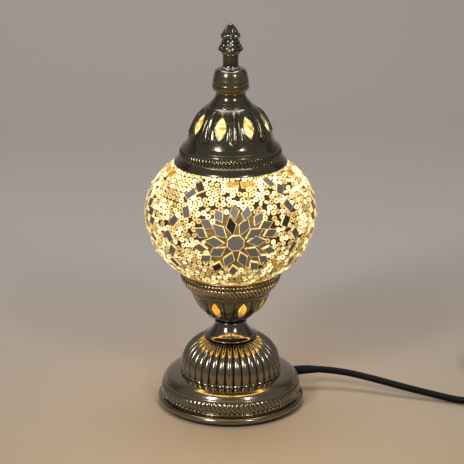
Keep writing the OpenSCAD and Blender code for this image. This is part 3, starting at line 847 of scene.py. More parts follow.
@dataclass
class Stage:
    """Camera, floor and lights, as the lamp is seen on its table."""

    turn: float = 3.3
    distance: float = 1.3
    eye_height: float = 0.572
    pitch: float = 18.65
    yaw: float = 0.043
    lens: float = 144.65
    sensor: float = 36.0
    box_tint: Colour = (1.0, 0.97, 0.94)
    globe_lamps: int = 8
    globe_ring: float = 0.0490
    globe_low: float = 0.1085

    def camera(self) -> None:
        """Makes the scene's camera."""
        data = bpy.data.cameras.new("camera")
        data.lens, data.sensor_width = self.lens, self.sensor
        data.clip_start, data.clip_end = 0.05, 30
        camera = add_object("camera", data)
        turn = math.radians(self.turn)
        camera.location = (-math.sin(turn) * self.distance, -math.cos(turn) * self.distance,
                           self.eye_height)
        camera.rotation_euler = (math.radians(90 - self.pitch), 0,
                                 -math.radians(self.turn + self.yaw))
        bpy.context.scene.camera = camera

    def floor(self) -> None:
        """Lays a pale sweep: a floor that curves up into a backdrop."""
        bm = bmesh.new()
        bend, back, rise = 0.5, 0.75, 2.2
        line = [(0, -4, 0), (0, back, 0)]
        line += [(0, back + bend * math.sin(a), bend * (1 - math.cos(a)))
                 for a in (math.radians(7.5 * k) for k in range(1, 13))]
        line.append((0, back + bend, rise))
        verts = [bm.verts.new(Vector(p) - Vector((4, 0, 0))) for p in line]
        edges = [bm.edges.new(pair) for pair in zip(verts, verts[1:])]
        made = bmesh.ops.extrude_edge_only(bm, edges=edges)["geom"]
        bmesh.ops.translate(bm, vec=(8, 0, 0),
                            verts=[g for g in made if isinstance(g, bmesh.types.BMVert)])
        bm.normal_update()
        for face in bm.faces:
            if face.normal.z - face.normal.y < 0:
                face.normal_flip()
        mesh = bpy.data.meshes.new("sweep")
        bm.to_mesh(mesh)
        bm.free()
        mesh.shade_smooth()
        mesh.materials.append(self._floor_finish())
        add_object("sweep", mesh)

    @staticmethod
    def _floor_finish() -> bpy.types.Material:
        """Matt painted board with a painted pool of the lamp's warm light near it, greyer behind
        it, clear from its back.
        """
        material, s, shader = new_material("painted_sweep")
        depth = s.add("SeparateXYZ", Vector=s.place()).outputs["Y"]
        lamp_glow_fade = s.math("MULTIPLY", s.math("ADD", depth, 0.30), 1.25, True)
        # Painted light: the warm near end of the ramp is the lamp's glow on the board.
        tint = s.ramp(lamp_glow_fade, [(0.0, (0.370, 0.262, 0.142)), (0.35, (0.37, 0.305, 0.235)),
                              (0.8, (0.43, 0.395, 0.375))])
        s.feed(shader, "Base Color", tint)
        s.feed(shader, "Normal", s.bump(s.noise(900, 3.0), 0.05, 0.0005))
        fix(shader, Roughness=0.75)
        clear, choice = s.add("BsdfTransparent"), s.add("MixShader")
        s.feed(choice, 0, s.add("NewGeometry").outputs["Backfacing"])
        s.feed(choice, 1, shader.outputs[0])
        s.feed(choice, 2, clear.outputs[0])
        s.feed(material.node_tree.nodes["Material Output"], "Surface", choice.outputs[0])
        return material

    @staticmethod
    def _area(name: str, place: Vector, aim: Vector, size: Point2, power: float,
              tint: Colour, seen: bool = True) -> None:
        """Hangs one soft light.

        Args:
            name: its name.
            place: where it hangs, in metres.
            aim: the point that it faces.
            size: its width and height, in metres.
            power: its power, in watts.
            tint: its colour.
            seen: whether reflections show it.
        """
        data = bpy.data.lights.new(name, "AREA")
        data.shape, data.size, data.size_y = "RECTANGLE", size[0], size[1]
        data.energy, data.color = power, tint
        light = add_object(name, data)
        light.location = place
        light.rotation_euler = (aim - place).to_track_quat("-Z", "Y").to_euler()
        light.visible_camera = False
        light.visible_glossy = seen

    def lights(self) -> None:
        """Sets the studio's soft boxes and the glow that the globe throws round it."""
        aim = Vector((0, 0, 0.16))
        self._area("left_box", Vector((-0.85, -1.05, 1.0)), aim, (0.26, 0.50), 10.5,
                   self.box_tint)
        self._area("right_box", Vector((0.62, -1.15, 0.95)), aim, (0.15, 0.36), 4.5,
                   self.box_tint)
        self._area("top_box", Vector((0.0, 0.35, 1.5)), aim, (1.1, 0.8), 11, (1.0, 0.97, 0.95))
        for k in range(self.globe_lamps):
            turn = 360 * (k + 0.5) / self.globe_lamps
            place = around(self.globe_ring, turn, self.globe_low)
            self._area(f"globe_glow_{k + 1}", place, place + around(0.3, turn, -1.0),
                       (0.033, 0.009), 0.0070, (1.0, 0.55, 0.08))
        self._area("floor_glow", Vector((0, -0.19, 0.26)), Vector((0, -0.13, 0)), (0.14, 0.10),
                   0.24, (1.0, 0.86, 0.60), False)
        world = bpy.data.worlds.new("room")
        world.use_nodes = True
        background = world.node_tree.nodes["Background"]
        background.inputs["Color"].default_value = (0.42, 0.40, 0.385, 1)
        background.inputs["Strength"].default_value = 0.56
        bpy.context.scene.world = world
        bpy.context.scene.view_settings.view_transform = "Standard"


# ---------------------------------------------------------------- flex


@dataclass
class Flex:
    """The round flex with its strain relief, switch and plug."""

    diameter: float = 5.2
    length: float = 1800.0
    exit_turn: float = 18.0
    exit_height: float = 14.5
    switch: tuple[float, float] = (218.0, -27.0)
    switch_size: tuple[float, float, float] = (60.0, 24.0, 18.0)
    switch_split: float = 7.0
    coil: tuple[float, float] = (229.0, 46.0)
    coil_ring: float = 38.6
    coil_step: float = 5.4
    coil_low: float = 2.8
    coil_rise: float = 5.2
    plug: tuple[float, float, float] = (247.0, 29.0, 17.6)
    plug_length: float = 36.0
    pin_gap: float = 3.6
    sides: int = 6

    def lead(self) -> list[Vector]:
        """From the foot to the switch."""
        return [Vector(p) for p in (
            (44.2, 14.4, 14.5), (58, 18.7, 14.5), (72, 18.6, 14.1), (89, 14.9, 12.9),
            (106, 8.6, 10.9), (130, -2.6, 7.8), (150, -11, 5.2), (168, -19, 3.4),
            (180, -24.4, 4.2), (188.2, self.switch[1], 7))]

    def tail(self) -> list[Vector]:
        """From the switch to the coil."""
        return [Vector(p) for p in (
            (247.8, self.switch[1], 7), (257, -26, 4.2), (268, -18, 2.8), (276, -4, 2.8),
            (277, 14, 2.8), (273, 31, 2.8), (267.6, self.coil[1], 2.8))]

    def winding(self) -> list[Vector]:
        """Four turns inwards on the table, and the way back out on top of them."""
        points = []
        for angle in range(10, 2700, 12):
            inward = sum(ease((angle - 300 - 360 * k) / 50) for k in range(3))
            outward = sum(ease((angle - 1620 - 360 * k) / 50) for k in range(3))
            radius = self.coil_ring - self.coil_step * (inward - outward)
            height = self.coil_low + self.coil_rise * ease((angle - 1320) / 50)
            a = math.radians(angle)
            points.append(Vector((self.coil[0] + radius * math.cos(a),
                                  self.coil[1] + radius * math.sin(a), height)))
        return points

    def end(self) -> list[Vector]:
        """From the top of the coil to the plug that lies on it."""
        return [Vector(p) for p in (
            (190.4, self.coil[1], 8), (191.7, 36, 9), (195.6, 26.7, 11.2), (201.7, 18.7, 12.8),
            (209.7, 12.6, 13.4), (222.3, 8, 13.6), (229.6, 8.3, 14.2), (236.5, 10.8, 15),
            (244.2, 18.5, 16.6), self.plug)]

    def make_cord(self, finish: bpy.types.Material) -> bpy.types.Object:
        """Runs the whole flex as one smooth curve.

        Args:
            finish: the sheath's material.

        Returns:
            The flex.
        """
        route = catmull(self.lead(), 6)[:-1] + catmull([self.lead()[-1], self.tail()[0]], 5)
        route += catmull(self.tail(), 6)[1:] + self.winding() + catmull(self.end(), 5)
        data = bpy.data.curves.new("flex", "CURVE")
        data.dimensions = "3D"
        data.bevel_depth = self.diameter / 2 * MM
        data.bevel_resolution = self.sides - 2
        data.use_fill_caps = True
        line = data.splines.new("POLY")
        line.points.add(len(route) - 1)
        for point, spot in zip(line.points, route):
            point.co = (*(spot * MM), 1)
        line.use_smooth = True
        data.materials.append(finish)
        cord = add_object("flex", data)
        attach(cord, Body.BASE.value)
        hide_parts("flex_lead", "flex_tail", "flex_coil", "flex_end")
        return cord

    def make_relief(self, finish: bpy.types.Material) -> bpy.types.Object:
        """The tapered sleeve where the flex leaves the foot, bent along the flex.

        Args:
            finish: the sleeve's material.

        Returns:
            The sleeve.
        """
        line = [(2.65, 46.5), (6.2, 46.5), (6.2, 48.2), (4.5, 48.4), (4.5, 51.2)]
        for k in range(6):
            z = 52.2 + 2.4 * k
            thick = 3.75 - 0.13 * k
            line += [(thick, z), (thick, z + 1.2), (thick - 0.2, z + 1.5), (thick - 0.2, z + 2.1)]
        line += [(2.9, 67.2), (2.72, 70.5), (2.65, 70.5)]
        bm = lathe(rounded(line, 0.25, 2) + [(2.65, 46.5)], 28)
        lie = (Matrix.Translation((0, 0, self.exit_height))
               @ Matrix.Rotation(math.radians(self.exit_turn), 4, "Z")
               @ Matrix.Rotation(math.radians(90), 4, "Y"))
        bmesh.ops.transform(bm, matrix=lie, verts=bm.verts)
        route = catmull(self.lead()[:4], 24)
        slope = math.tan(math.radians(self.exit_turn))
        for v in bm.verts:
            near = min(route, key=lambda spot: abs(spot.x - v.co.x))
            v.co += Vector((0, near.y - near.x * slope, near.z - self.exit_height))
        return finish_piece(bm, "flex_sleeve", Body.BASE, [finish],
                            ["strain_relief"])

    def make_switch(self, finishes: Finishes) -> list[bpy.types.Object]:
        """The inline switch: two shells, a bezel, two screws and a rocker.

        Args:
            finishes: the lamp's materials.

        Returns:
            The switch's pieces.
        """
        long, wide, high = self.switch_size
        middle = Vector((*self.switch, 0))
        made = []
        low, top = self.switch_split, high - self.switch_split
        for name, node, z, tall in (("switch_underside", "switch_base", low / 2, low - 0.15),
                                    ("switch_lid", "switch_cover", low + top / 2, top - 0.15)):
            bm = slab(Vector((long, wide, tall)), 9.0, 0.9)
            for v in bm.verts:
                reach = abs(v.co.x) / (long / 2)
                v.co.y *= 0.90 + 0.10 * reach
                if v.co.z > 0 and node == "switch_cover":
                    v.co.z -= 0.7 * reach ** 2
            bmesh.ops.translate(bm, verts=bm.verts, vec=middle + Vector((0, 0, z)))
            made.append(finish_piece(bm, name, Body.BASE,
                                     [finishes["switch_shell"]], [node]))
        frame_bm = slab(Vector((25.5, 12.4, 1.2)), 2.2, 0.4)
        bmesh.ops.translate(frame_bm, verts=frame_bm.verts, vec=middle + Vector((0, 0, high)))
        made.append(finish_piece(frame_bm, "switch_bezel", Body.BASE,
                                 [finishes["rocker_shell"]]))
        bm = bmesh.new()
        for side in (-1, 1):
            head = lathe(rounded([(0, 18.4), (1.6, 18.35), (2.4, 17.9), (2.4, 17.0)], 0.3), 24)
            bmesh.ops.translate(head, verts=head.verts, vec=middle + Vector((side * 20, 0, 0)))
            join_into(bm, head)
        made.append(finish_piece(bm, "switch_screw_heads", Body.BASE,
                                 [finishes["zinc_plate"]], ["switch_screws"]))
        rocker = slab(Vector((21.4, 9.4, 6.0)), 1.2, 0.5)
        for v in rocker.verts:
            v.co.z += 0.9 * (abs(v.co.x) / 10.7) ** 2 if v.co.z > 0 else 0
        tip = (Matrix.Translation(middle + Vector((0, 0, 16.4)))
               @ Matrix.Rotation(math.radians(7), 4, "Y"))
        bmesh.ops.transform(rocker, matrix=tip, verts=rocker.verts)
        made.append(finish_piece(rocker, "switch_rocker", Body.ROCKER,
                                 [finishes["rocker_shell"]], ["rocker"]))
        return made

    def make_plug(self, finishes: Finishes) -> list[bpy.types.Object]:
        """The flat two-pin plug.

        Args:
            finishes: the lamp's materials.

        Returns:
            The plug's grip and its pins.
        """
        line = [(2.7, 0), (3.6, 0), (4.0, 3), (5.0, 7), (6.6, 11), (6.9, 14)]
        line += [(6.5, 15), (6.9, 16.4), (6.5, 17.4), (6.9, 18.8), (6.5, 19.8), (6.9, 21.4)]
        line += [(6.9, self.plug_length - 1.2), (6.2, self.plug_length), (0, self.plug_length)]
        bm = lathe([(0, 0)] + rounded(line, 0.5, 2), 40)
        for v in bm.verts:
            v.co.x = math.copysign(min(abs(v.co.x) ** 0.92 * 1.12, 7.0), v.co.x)
            v.co.y = math.copysign(min(abs(v.co.y), 5.8), v.co.y)
        lie = (Matrix.Translation(Vector(self.plug)) @ Matrix.Rotation(math.radians(-90), 4, "X"))
        bmesh.ops.transform(bm, matrix=lie, verts=bm.verts)
        body = finish_piece(bm, "plug_grip", Body.BASE,
                            [finishes["plug_shell"]], ["plug_body"])
        bm = bmesh.new()
        for side in (-1, 1):
            pin = lathe(rounded([(0, -1), (1.9, -1), (1.9, 8.9), (2.0, 9.1), (2.0, 15.8),
                                 (1.2, 17.1), (0, 17.2)], 0.3), 24)
            paint_faces(pin, 1, lambda c: c.z < 9.0)
            bmesh.ops.translate(pin, verts=pin.verts,
                                vec=(side * self.pin_gap, 0, self.plug_length))
            join_into(bm, pin)
        bmesh.ops.transform(bm, matrix=lie, verts=bm.verts)
        pins = finish_piece(bm, "plug_contacts", Body.BASE,
                            [finishes["nickel_pin"], finishes["plug_shell"]], ["plug_pins"])
        return [body, pins]

    def build(self, finishes: Finishes) -> None:
        cord = self.make_cord(finishes["flex_sheath"])
        sleeve = self.make_relief(finishes["flex_sheath"])
        on_it = [sleeve, *self.make_switch(finishes), *self.make_plug(finishes)]


def join_into(bm: bmesh.types.BMesh, other: bmesh.types.BMesh) -> None:
    """Adds another mesh to a mesh.

    Args:
        bm: the mesh that grows.
        other: the mesh that is added, and then freed.
    """
    scratch = bpy.data.meshes.new("scratch")
    other.to_mesh(scratch)
    other.free()
    bm.from_mesh(scratch)
    bpy.data.meshes.remove(scratch)


# ---------------------------------------------------------------- metalwork


@dataclass
class RopeBand:
    """A rolled rope moulding round the lamp, with a row of dots along one edge."""

    low: Point2
    high: Point2
    strands: int
    depth: float
    slant: float = 1.0
    dots: float = 0.0
    dot_index: int = 1
    per_strand: int = 6
    rows: int = 9

    def build(self, name: str, node: str, body: Body, dress: Sequence[bpy.types.Material]) -> None:
        """Makes the band.

        Args:
            name: the piece's name.
            node: the CAD node that it stands for.
            body: the body that it rides on.
            dress: its materials, by material index.
        """
        (r0, z0), (r1, z1) = self.low, self.high
        line = [(r0 + (r1 - r0) * k / self.rows, z0 + (z1 - z0) * k / self.rows)
                for k in range(self.rows + 1)]
        bm = lathe(line, self.strands * self.per_strand)

        def rib(azimuth: float, height: float) -> float:
            """How high a strand's back is, from 0 in a gap to 1 on its crest."""
            phase = azimuth * self.strands / 360 + self.slant * (height - z0) / (z1 - z0)
            return abs(math.sin(math.pi * phase)) ** 0.7

        def strand(radius: float, azimuth: float, height: float) -> float:
            """The band's swell and its strands."""
            u = (height - z0) / (z1 - z0)
            bulge = math.sin(math.pi * min(1, max(0, u))) ** 0.6
            return self.depth * bulge * (0.18 + 0.82 * rib(azimuth, height))

        def gap(radius: float, azimuth: float, height: float) -> float:
            """Black patina and painted shade between the strands."""
            return 1.25 - 2.2 * rib(azimuth, height)

        emboss(bm, strand, gap)
        if self.dots:
            for k in range(self.strands):
                spot = around(r0 + 0.55, 360 * k / self.strands, z0 - 0.1)
                made = bmesh.ops.create_icosphere(bm, subdivisions=1, radius=self.dots)["verts"]
                bmesh.ops.translate(bm, verts=made, vec=spot)
                for face in {f for v in made for f in v.link_faces}:
                    face.material_index = self.dot_index
        finish_piece(bm, name, body, dress, [node])


@dataclass
class Marquise:
    """A ring of pointed windows pierced through a spun wall."""

    middle: float
    half_length: float
    half_width: float
    turn: float = 0.0
    count: int = 8
    open_share: float = 0.34
    fullness: float = 2.1

    def sector(self) -> float:
        """Degrees from one window to the next."""
        return 360 / self.count

    def off_axis(self, azimuth: float) -> float:
        """Degrees from the nearest window's middle line."""
        return wrap(azimuth + 90 - self.turn - self.sector() / 2, self.sector())

    def width_at(self, height: float) -> float:
        """Half the opening's width at a height, in millimetres."""
        u = abs(height - self.middle) / self.half_length
        return self.half_width * (1 - u ** self.fullness) if u < 1 else 0.0

    def inside(self, middle: Vector) -> bool:
        """Whether a face of the unturned grid lies in an opening."""
        off = abs(self.off_axis(azimuth_of(middle)))
        return off < self.open_share * self.sector() / 2 and (
            abs(middle.z - self.middle) < self.half_length)

    def gather(self, radius: float, azimuth: float, height: float) -> float:
        """Slides the grid's columns so that their edges follow the openings.

        Args:
            radius: a point's radius.
            azimuth: its azimuth on the even grid, in degrees.
            height: its height.

        Returns:
            Its new azimuth.
        """
        half = self.sector() / 2
        off = self.off_axis(azimuth)
        plain = self.open_share * half
        beyond = max(0.0, abs(height - self.middle) - self.half_length)
        edge = math.degrees(max(self.width_at(height), 0.22) / max(radius, 1))
        edge += (plain - edge) * ease(beyond / 7)
        if abs(off) < plain:
            moved = abs(off) / plain * edge
        else:
            moved = edge + (abs(off) - plain) / (half - plain) * (half - edge)
        return azimuth + math.copysign(moved, off) - off

    def rim(self, radius: float, azimuth: float, height: float) -> float:
        """Distance outside the nearest opening's edge, in millimetres."""
        across = abs(self.off_axis(azimuth)) * math.radians(1) * radius
        over = max(0.0, abs(height - self.middle) - self.half_length)
        return math.hypot(max(0.0, across - self.width_at(height)), over)

    def from_boss(self, radius: float, azimuth: float) -> float:
        """Distance round the wall from the line midway between two openings."""
        return (self.sector() / 2 - abs(self.off_axis(azimuth))) * math.radians(1) * radius

    def pierce(self, bm: bmesh.types.BMesh) -> None:
        """Opens the windows in a spun wall, with smooth edges."""
        gone = [f for f in bm.faces if self.inside(f.calc_center_median())]
        bmesh.ops.delete(bm, geom=gone, context="FACES")
        turn_points(bm, self.gather)


@dataclass
class Foot:
    """The spun foot with its rope band, the fluted dome and the bell collar."""

    columns: int = 180
    ribs: int = 36
    dome_radius: float = 37.4
    dome_foot: float = 24.6
    dome_top: float = 54.5
    flex_hole: tuple[float, float, float] = (50.5, 18.0, 14.5)
    hole_reach: float = 4.4

    def plate(self, finishes: Finishes) -> None:
        """The foot itself: rolled rim, neck for the rope band, shoulder and flat top."""
        line = [(49.7, 2.3), (50.6, 2.3)]
        line += circle((52.8, 4.5), 2.2, -120, 100, 14)
        line += [(51.0, 7.0), (49.8, 7.9), (50.0, 9.0), (51.1, 9.5), (50.2, 17.3), (50.6, 17.8),
                 (50.9, 18.5), (50.6, 19.3), (49.6, 19.9), (49.4, 20.5), (48.7, 21.7),
                 (46.8, 23.0), (43.5, 24.0), (39.8, 24.6), (20.0, 24.6), (5.0, 24.6)]
        bm = lathe(dense(rounded(line, 0.5, 2), 2.5), self.columns)
        hole = around(*self.flex_hole)
        gone = [f for f in bm.faces if (f.calc_center_median() - hole).length < self.hole_reach]
        bmesh.ops.delete(bm, geom=gone, context="FACES")
        piece = finish_piece(bm, "foot_shell", Body.BASE,
                             [finishes["foot_bronze_lit_copy"]], ["foot"])
        thicken(piece, 0.9)

    def dome(self, finishes: Finishes) -> None:
        """The gadrooned dome: round ribs that draw together under the collar."""
        power, lift = 2.4, 27.0
        height = self.dome_top - lift
        line = [(self.dome_radius - 1.5, self.dome_foot - 0.1), (self.dome_radius + 0.3, 24.7),
                (self.dome_radius + 0.5, 25.3), (self.dome_radius - 0.1, 26.2)]
        for k in range(1, 40):
            z = lift + height * math.sin(math.radians(90 * k / 40 * 0.95))
            u = (z - lift) / height
            line.append((self.dome_radius * (1 - u ** power) ** (1 / power), z))
        line.append((8.0, self.dome_top - 0.1))
        bm = lathe(line, self.ribs * 12)

        def rib(radius: float, azimuth: float, height_here: float) -> float:
            """Round ribs, cut in from the dome's outline."""
            wave = abs(math.sin(math.pi * azimuth * self.ribs / 360)) ** 0.62
            foot = 0.35 + 0.65 * ease((height_here - self.dome_foot) / 1.8)
            return -1.75 * foot * min(1.0, radius / 31) ** 1.2 * (1 - wave)

        def groove(radius: float, azimuth: float, height_here: float) -> float:
            """Black patina and painted shade between the ribs."""
            wave = abs(math.sin(math.pi * azimuth * self.ribs / 360))
            return (1.0 - wave / 0.42) * ease((radius - 9) / 10)

        emboss(bm, rib, groove)
        piece = finish_piece(bm, "gadrooned_dome", Body.BASE,
                             [finishes["foot_bronze_lit_copy"]], ["fluted_dome"])
        thicken(piece, 0.9)

    def collar(self, finishes: Finishes) -> None:
        """The smooth bell between the dome and the cup."""
        line = [(14, 53.4), (18.6, 52.6), (19.6, 52.5), (20.1, 52.9), (20.1, 53.4), (19.4, 53.9),
                (18.3, 54.3), (17.2, 54.9), (15.2, 56.9), (13.3, 59.4), (12.1, 61.8),
                (11.5, 63.4), (11.6, 63.9), (12.1, 64.2), (12.2, 64.7), (11.7, 65.3), (5, 65.4)]
        bm = lathe(dense(rounded(line, 0.9, 3), 1.2), 120)
        finish_piece(bm, "bell_collar", Body.BASE, [finishes["dark_bronze"]],
                     ["collar"])

    def build(self, finishes: Finishes) -> None:
        """Makes the foot's pieces."""
        self.plate(finishes)
        rope = RopeBand((51.2, 9.9), (50.3, 17.2), 90, 1.35, 1.0, 0.72)
        rope.build("foot_rope_moulding", "foot_rope", Body.BASE,
                   [finishes["foot_bronze_lit_copy"], finishes["rubbed_bronze"]])
        self.dome(finishes)
        self.collar(finishes)


@dataclass
class Cup:
    """The pierced cup that holds the globe."""

    windows: Marquise = field(default_factory=lambda: Marquise(79.6, 6.8, 3.1, -5.87))
    columns: int = 368
    strands: int = 76
    strand_low: float = 92.4
    strand_high: float = 99.3
    boss_low: float = 70.0
    boss_grow: float = 1.9 / 16

    def strand(self, azimuth: float, height: float) -> float:
        """Height of a slanted strand on the flare, from 0 in a gap to 1 on a crest."""
        turn = azimuth * self.strands / 360 + 0.25 * (height - self.strand_high)
        return abs(math.sin(math.pi * turn)) ** 0.7

    def on_strand(self, middle: Vector) -> bool:
        """Whether a face lies on the crest of a strand."""
        return (self.strand_low + 1.2 < middle.z < self.strand_high
                and self.strand(azimuth_of(middle), middle.z) > 0.8)

    def boss_width(self, height: float) -> float:
        """Half the width of a tear boss at a height."""
        return 1.3 + self.boss_grow * (height - self.boss_low)

    def relief(self, radius: float, azimuth: float, height: float) -> float:
        """Strands on the flare, raised window rims, and tear bosses between the windows.

        Args:
            radius: a point's radius.
            azimuth: its azimuth, in degrees.
            height: its height.

        Returns:
            How far the point is raised.
        """
        if self.strand_low < height < self.strand_high:
            return 0.75 * self.strand(azimuth, height) * ease((height - self.strand_low) / 1.5)
        if not 69 < height < 88:
            return 0.0
        fade = ease((height - 69) / 3) * ease((88 - height) / 2)
        rim = 0.3 * hump(self.windows.rim(radius, azimuth, height) - 0.6, 0.7)
        across, wide = self.windows.from_boss(radius, azimuth), self.boss_width(height)
        boss = max(0.0, 1 - (across / wide) ** 2) * 1.1
        groove = -0.35 * hump(across - wide - 0.7, 0.6)
        return fade * (rim + boss + groove)

    def patina(self, radius: float, azimuth: float, height: float) -> float:
        """Black patina and painted shade between the strands and beside the bosses."""
        if self.strand_low < height < self.strand_high:
            return (1.1 - 1.9 * self.strand(azimuth, height)) * ease(
                (height - self.strand_low) / 1.5)
        if not self.boss_low < height < 87.5:
            return 0.0
        across = self.windows.from_boss(radius, azimuth)
        return 0.8 * hump(across - self.boss_width(height) - 0.8, 0.6)

    def build(self, finishes: Finishes) -> None:
        """Makes the cup and its rope band."""
        line = [(11.2, 65.4), (11.8, 66.4), (14.7, 68.5), (18.0, 71.3), (22.4, 75.3),
                (24.9, 79.1), (26.8, 83.0), (28.1, 86.6), (28.7, 88.2), (30.0, 88.7),
                (30.5, 89.7), (30.2, 90.7), (31.2, 91.6), (33.3, 94.0), (34.8, 96.3),
                (35.8, 98.4), (36.3, 99.0), (36.4, 102.8), (37.2, 103.5), (37.6, 104.3),
                (37.2, 105.0), (36.4, 105.2), (35.9, 104.8)]
        bm = lathe(dense(rounded(line, 0.8, 3), 0.66), self.columns)
        self.windows.pierce(bm)
        emboss(bm, self.relief, self.patina)
        paint_faces(bm, 1, lambda c: c.z > 104.4)
        paint_faces(bm, 3, self.on_strand)
        piece = finish_piece(bm, "pierced_cup", Body.BASE,
                             [finishes["antique_bronze"], finishes["soft_brass"],
                              finishes["lit_amber_lining"], finishes["rubbed_bronze"]], ["cup"])
        thicken(piece, 0.8, 2)
        rope = RopeBand((36.3, 99.2), (36.5, 102.8), 76, 0.95, 0.9)
        rope.build("cup_rope_moulding", "cup_rope", Body.BASE, [finishes["antique_bronze"]])


@dataclass
class Cap:
    """The pierced cap with its ferrule, washer, post and bud finial."""

    windows: Marquise = field(default_factory=lambda: Marquise(218.6, 7.3, 3.7, 3.375))
    columns: int = 320
    boss_low: float = 208.6
    boss_high: float = 228.5
    folds_low: float = 269.6
    folds_high: float = 278.2
    fold_pitch: float = 2.5
    flutes_low: float = 282.3
    flutes: int = 14

    def relief(self, radius: float, azimuth: float, height: float) -> float:
        """Window rims, tear bosses and arched panels between shoulder and neck.

        Args:
            radius: a point's radius.
            azimuth: its azimuth, in degrees.
            height: its height.

        Returns:
            How far the point is raised.
        """
        if not 204.6 < height < 230:
            return 0.0
        fade = ease((height - 204.6) / 2) * ease((229.5 - height) / 6)
        rim = 0.35 * hump(self.windows.rim(radius, azimuth, height) - 0.7, 0.8)
        edge, wide = self.boss_edge(radius, azimuth, height)
        reach = 1 + edge / wide
        boss = 1.25 * max(0.0, 1 - reach * reach)
        groove = -0.35 * hump(edge - 0.6, 0.7) + 0.3 * hump(edge - 2.4, 0.8)
        return fade * (rim + boss + groove)

    def boss_edge(self, radius: float, azimuth: float, height: float) -> Point2:
        """The nearest tear boss.

        Args:
            radius: a point's radius.
            azimuth: its azimuth, in degrees.
            height: its height.

        Returns:
            The point's distance outside the boss, and half the boss's width there.
        """
        across = self.windows.from_boss(radius, azimuth)
        along = (height - self.boss_low) / (self.boss_high - self.boss_low)
        wide = 2.7 - 1.7 * min(1.0, max(0.0, along))
        below = max(0.0, self.boss_low + wide - height)
        return math.hypot(across, below) - wide, wide

    def patina(self, radius: float, azimuth: float, height: float) -> float:
        """Black patina and painted shade in the grooves round the bosses."""
        if not 206 < height < 230:
            return 0.0
        edge, _ = self.boss_edge(radius, azimuth, height)
        return 0.7 * hump(edge - 0.7, 0.6) * ease((230 - height) / 3)

    def shell(self, finishes: Finishes) -> None:
        """The cap's spun shell with its eight windows."""
        line = [(38.2, 187.3), (38.4, 187.0), (41.0, 187.0), (41.5, 187.4), (41.3, 188.1),
                (40.8, 188.9), (39.6, 190.4), (38.0, 192.0), (36.5, 192.9), (35.7, 198.7),
                (36.1, 199.2), (35.3, 200.2), (33.6, 201.6), (32.1, 203.3), (31.4, 204.5),
                (30.6, 206.8), (29.5, 210.7), (27.9, 214.9), (26.0, 218.9), (23.3, 223.3),
                (19.8, 227.4), (17.4, 229.5), (16.0, 230.1), (15.8, 230.9), (14.8, 231.6),
                (14.3, 232.6), (13.0, 233.7), (11.6, 235.6), (10.9, 237.6), (10.8, 240.0)]
        bm = lathe(dense(rounded(line, 0.8, 3), 0.55), self.columns)
        self.windows.pierce(bm)
        emboss(bm, self.relief, self.patina)
        piece = finish_piece(bm, "pierced_cap", Body.CAP,
                             [finishes["cap_bronze_shaded_copy"], finishes["lit_brass_lining"]],
                             ["cap_dome"])
        thicken(piece, 0.8, 1)

    def stack(self, finishes: Finishes) -> None:
        """The ferrule, the washer and the post."""
        line = [(3, 240.0), (11.4, 240.0), (11.7, 240.3), (11.7, 240.9), (12.3, 241.1),
                (13.3, 242.0), (13.55, 243.2), (13.5, 245.0), (13.3, 246.1), (12.9, 246.3),
                (12.9, 246.8), (13.25, 247.1), (13.1, 248.6), (12.6, 250.6), (12.2, 252.8),
                (11.7, 254.4), (10.8, 256.0), (9.4, 256.9), (7.2, 257.2), (3, 257.2)]
        bm = lathe(dense(rounded(line, 0.4, 3), 1.0), 96)
        paint_faces(bm, 1, lambda c: c.z < 241.15)
        finish_piece(bm, "barrel_ferrule", Body.CAP,
                     [finishes["olive_bronze"], finishes["soft_brass"]], ["ferrule"])
        line = [(3, 257.2), (6.9, 257.2), (7.2, 257.6), (6.9, 258.2), (6.1, 258.6), (3, 258.6)]
        finish_piece(lathe(rounded(line, 0.4, 4), 72), "bright_washer", Body.CAP,
                     [finishes["zinc_plate"]], ["post_washer"])
        line = [(3, 258.6), (6.1, 258.6), (5.8, 259.2), (5.7, 263), (5.75, 267.4), (5.5, 267.8),
                (3, 267.8)]
        finish_piece(lathe(rounded(line, 0.3, 3), 72), "finial_post", Body.CAP,
                     [finishes["dark_bronze"]], ["post"])

    @staticmethod
    def bud_petal(azimuth: float) -> float:
        """Place across a petal: 0 on its spine and 1 at its seam."""
        return abs(wrap(azimuth + 90, 90)) / 45

    def bud_fold(self, petal: float, height: float) -> float:
        """A stacked fold's swell, from -1 in a crease to 1 on its back."""
        return math.cos(TAU * (height + 1.1 * petal * petal - 0.4) / self.fold_pitch)

    def bud_flute(self, azimuth: float) -> float:
        """A flute's swell, from 0 in a groove to 1 on its back."""
        return abs(math.sin(math.radians(azimuth * self.flutes / 2)))

    def bud_relief(self, radius: float, azimuth: float, height: float) -> float:
        """Flutes on the bud, petal tips at its waist, and stacked folds on the bulb below.

        Args:
            radius: a point's radius, not used.
            azimuth: its azimuth, in degrees.
            height: its height.

        Returns:
            How far the point is raised.
        """
        petal = self.bud_petal(azimuth)
        spine, seam = hump(petal, 0.28), hump(1 - petal, 0.14)
        if height > self.flutes_low:
            fade = ease((height - self.flutes_low) / 1.5) * ease((289.6 - height) / 2.5)
            return fade * 0.5 * (self.bud_flute(azimuth) ** 0.7 - 1)
        if height > self.folds_high:
            side = abs(wrap(azimuth + 45, 45)) / 22.5
            tip = hump(height - 281.2 + 0.9 * side, 0.9) * (1 - side ** 2)
            return 0.6 * tip - 0.2 * side * ease((height - self.folds_high) / 1.5)
        if height > self.folds_low:
            fade = ease(height - self.folds_low) * ease((self.folds_high - height) / 1.5)
            fold = self.bud_fold(petal, height)
            return fade * (0.30 * fold * (1 - spine) * (1 - seam) + 0.35 * spine - 0.3 * seam)
        return 0.0

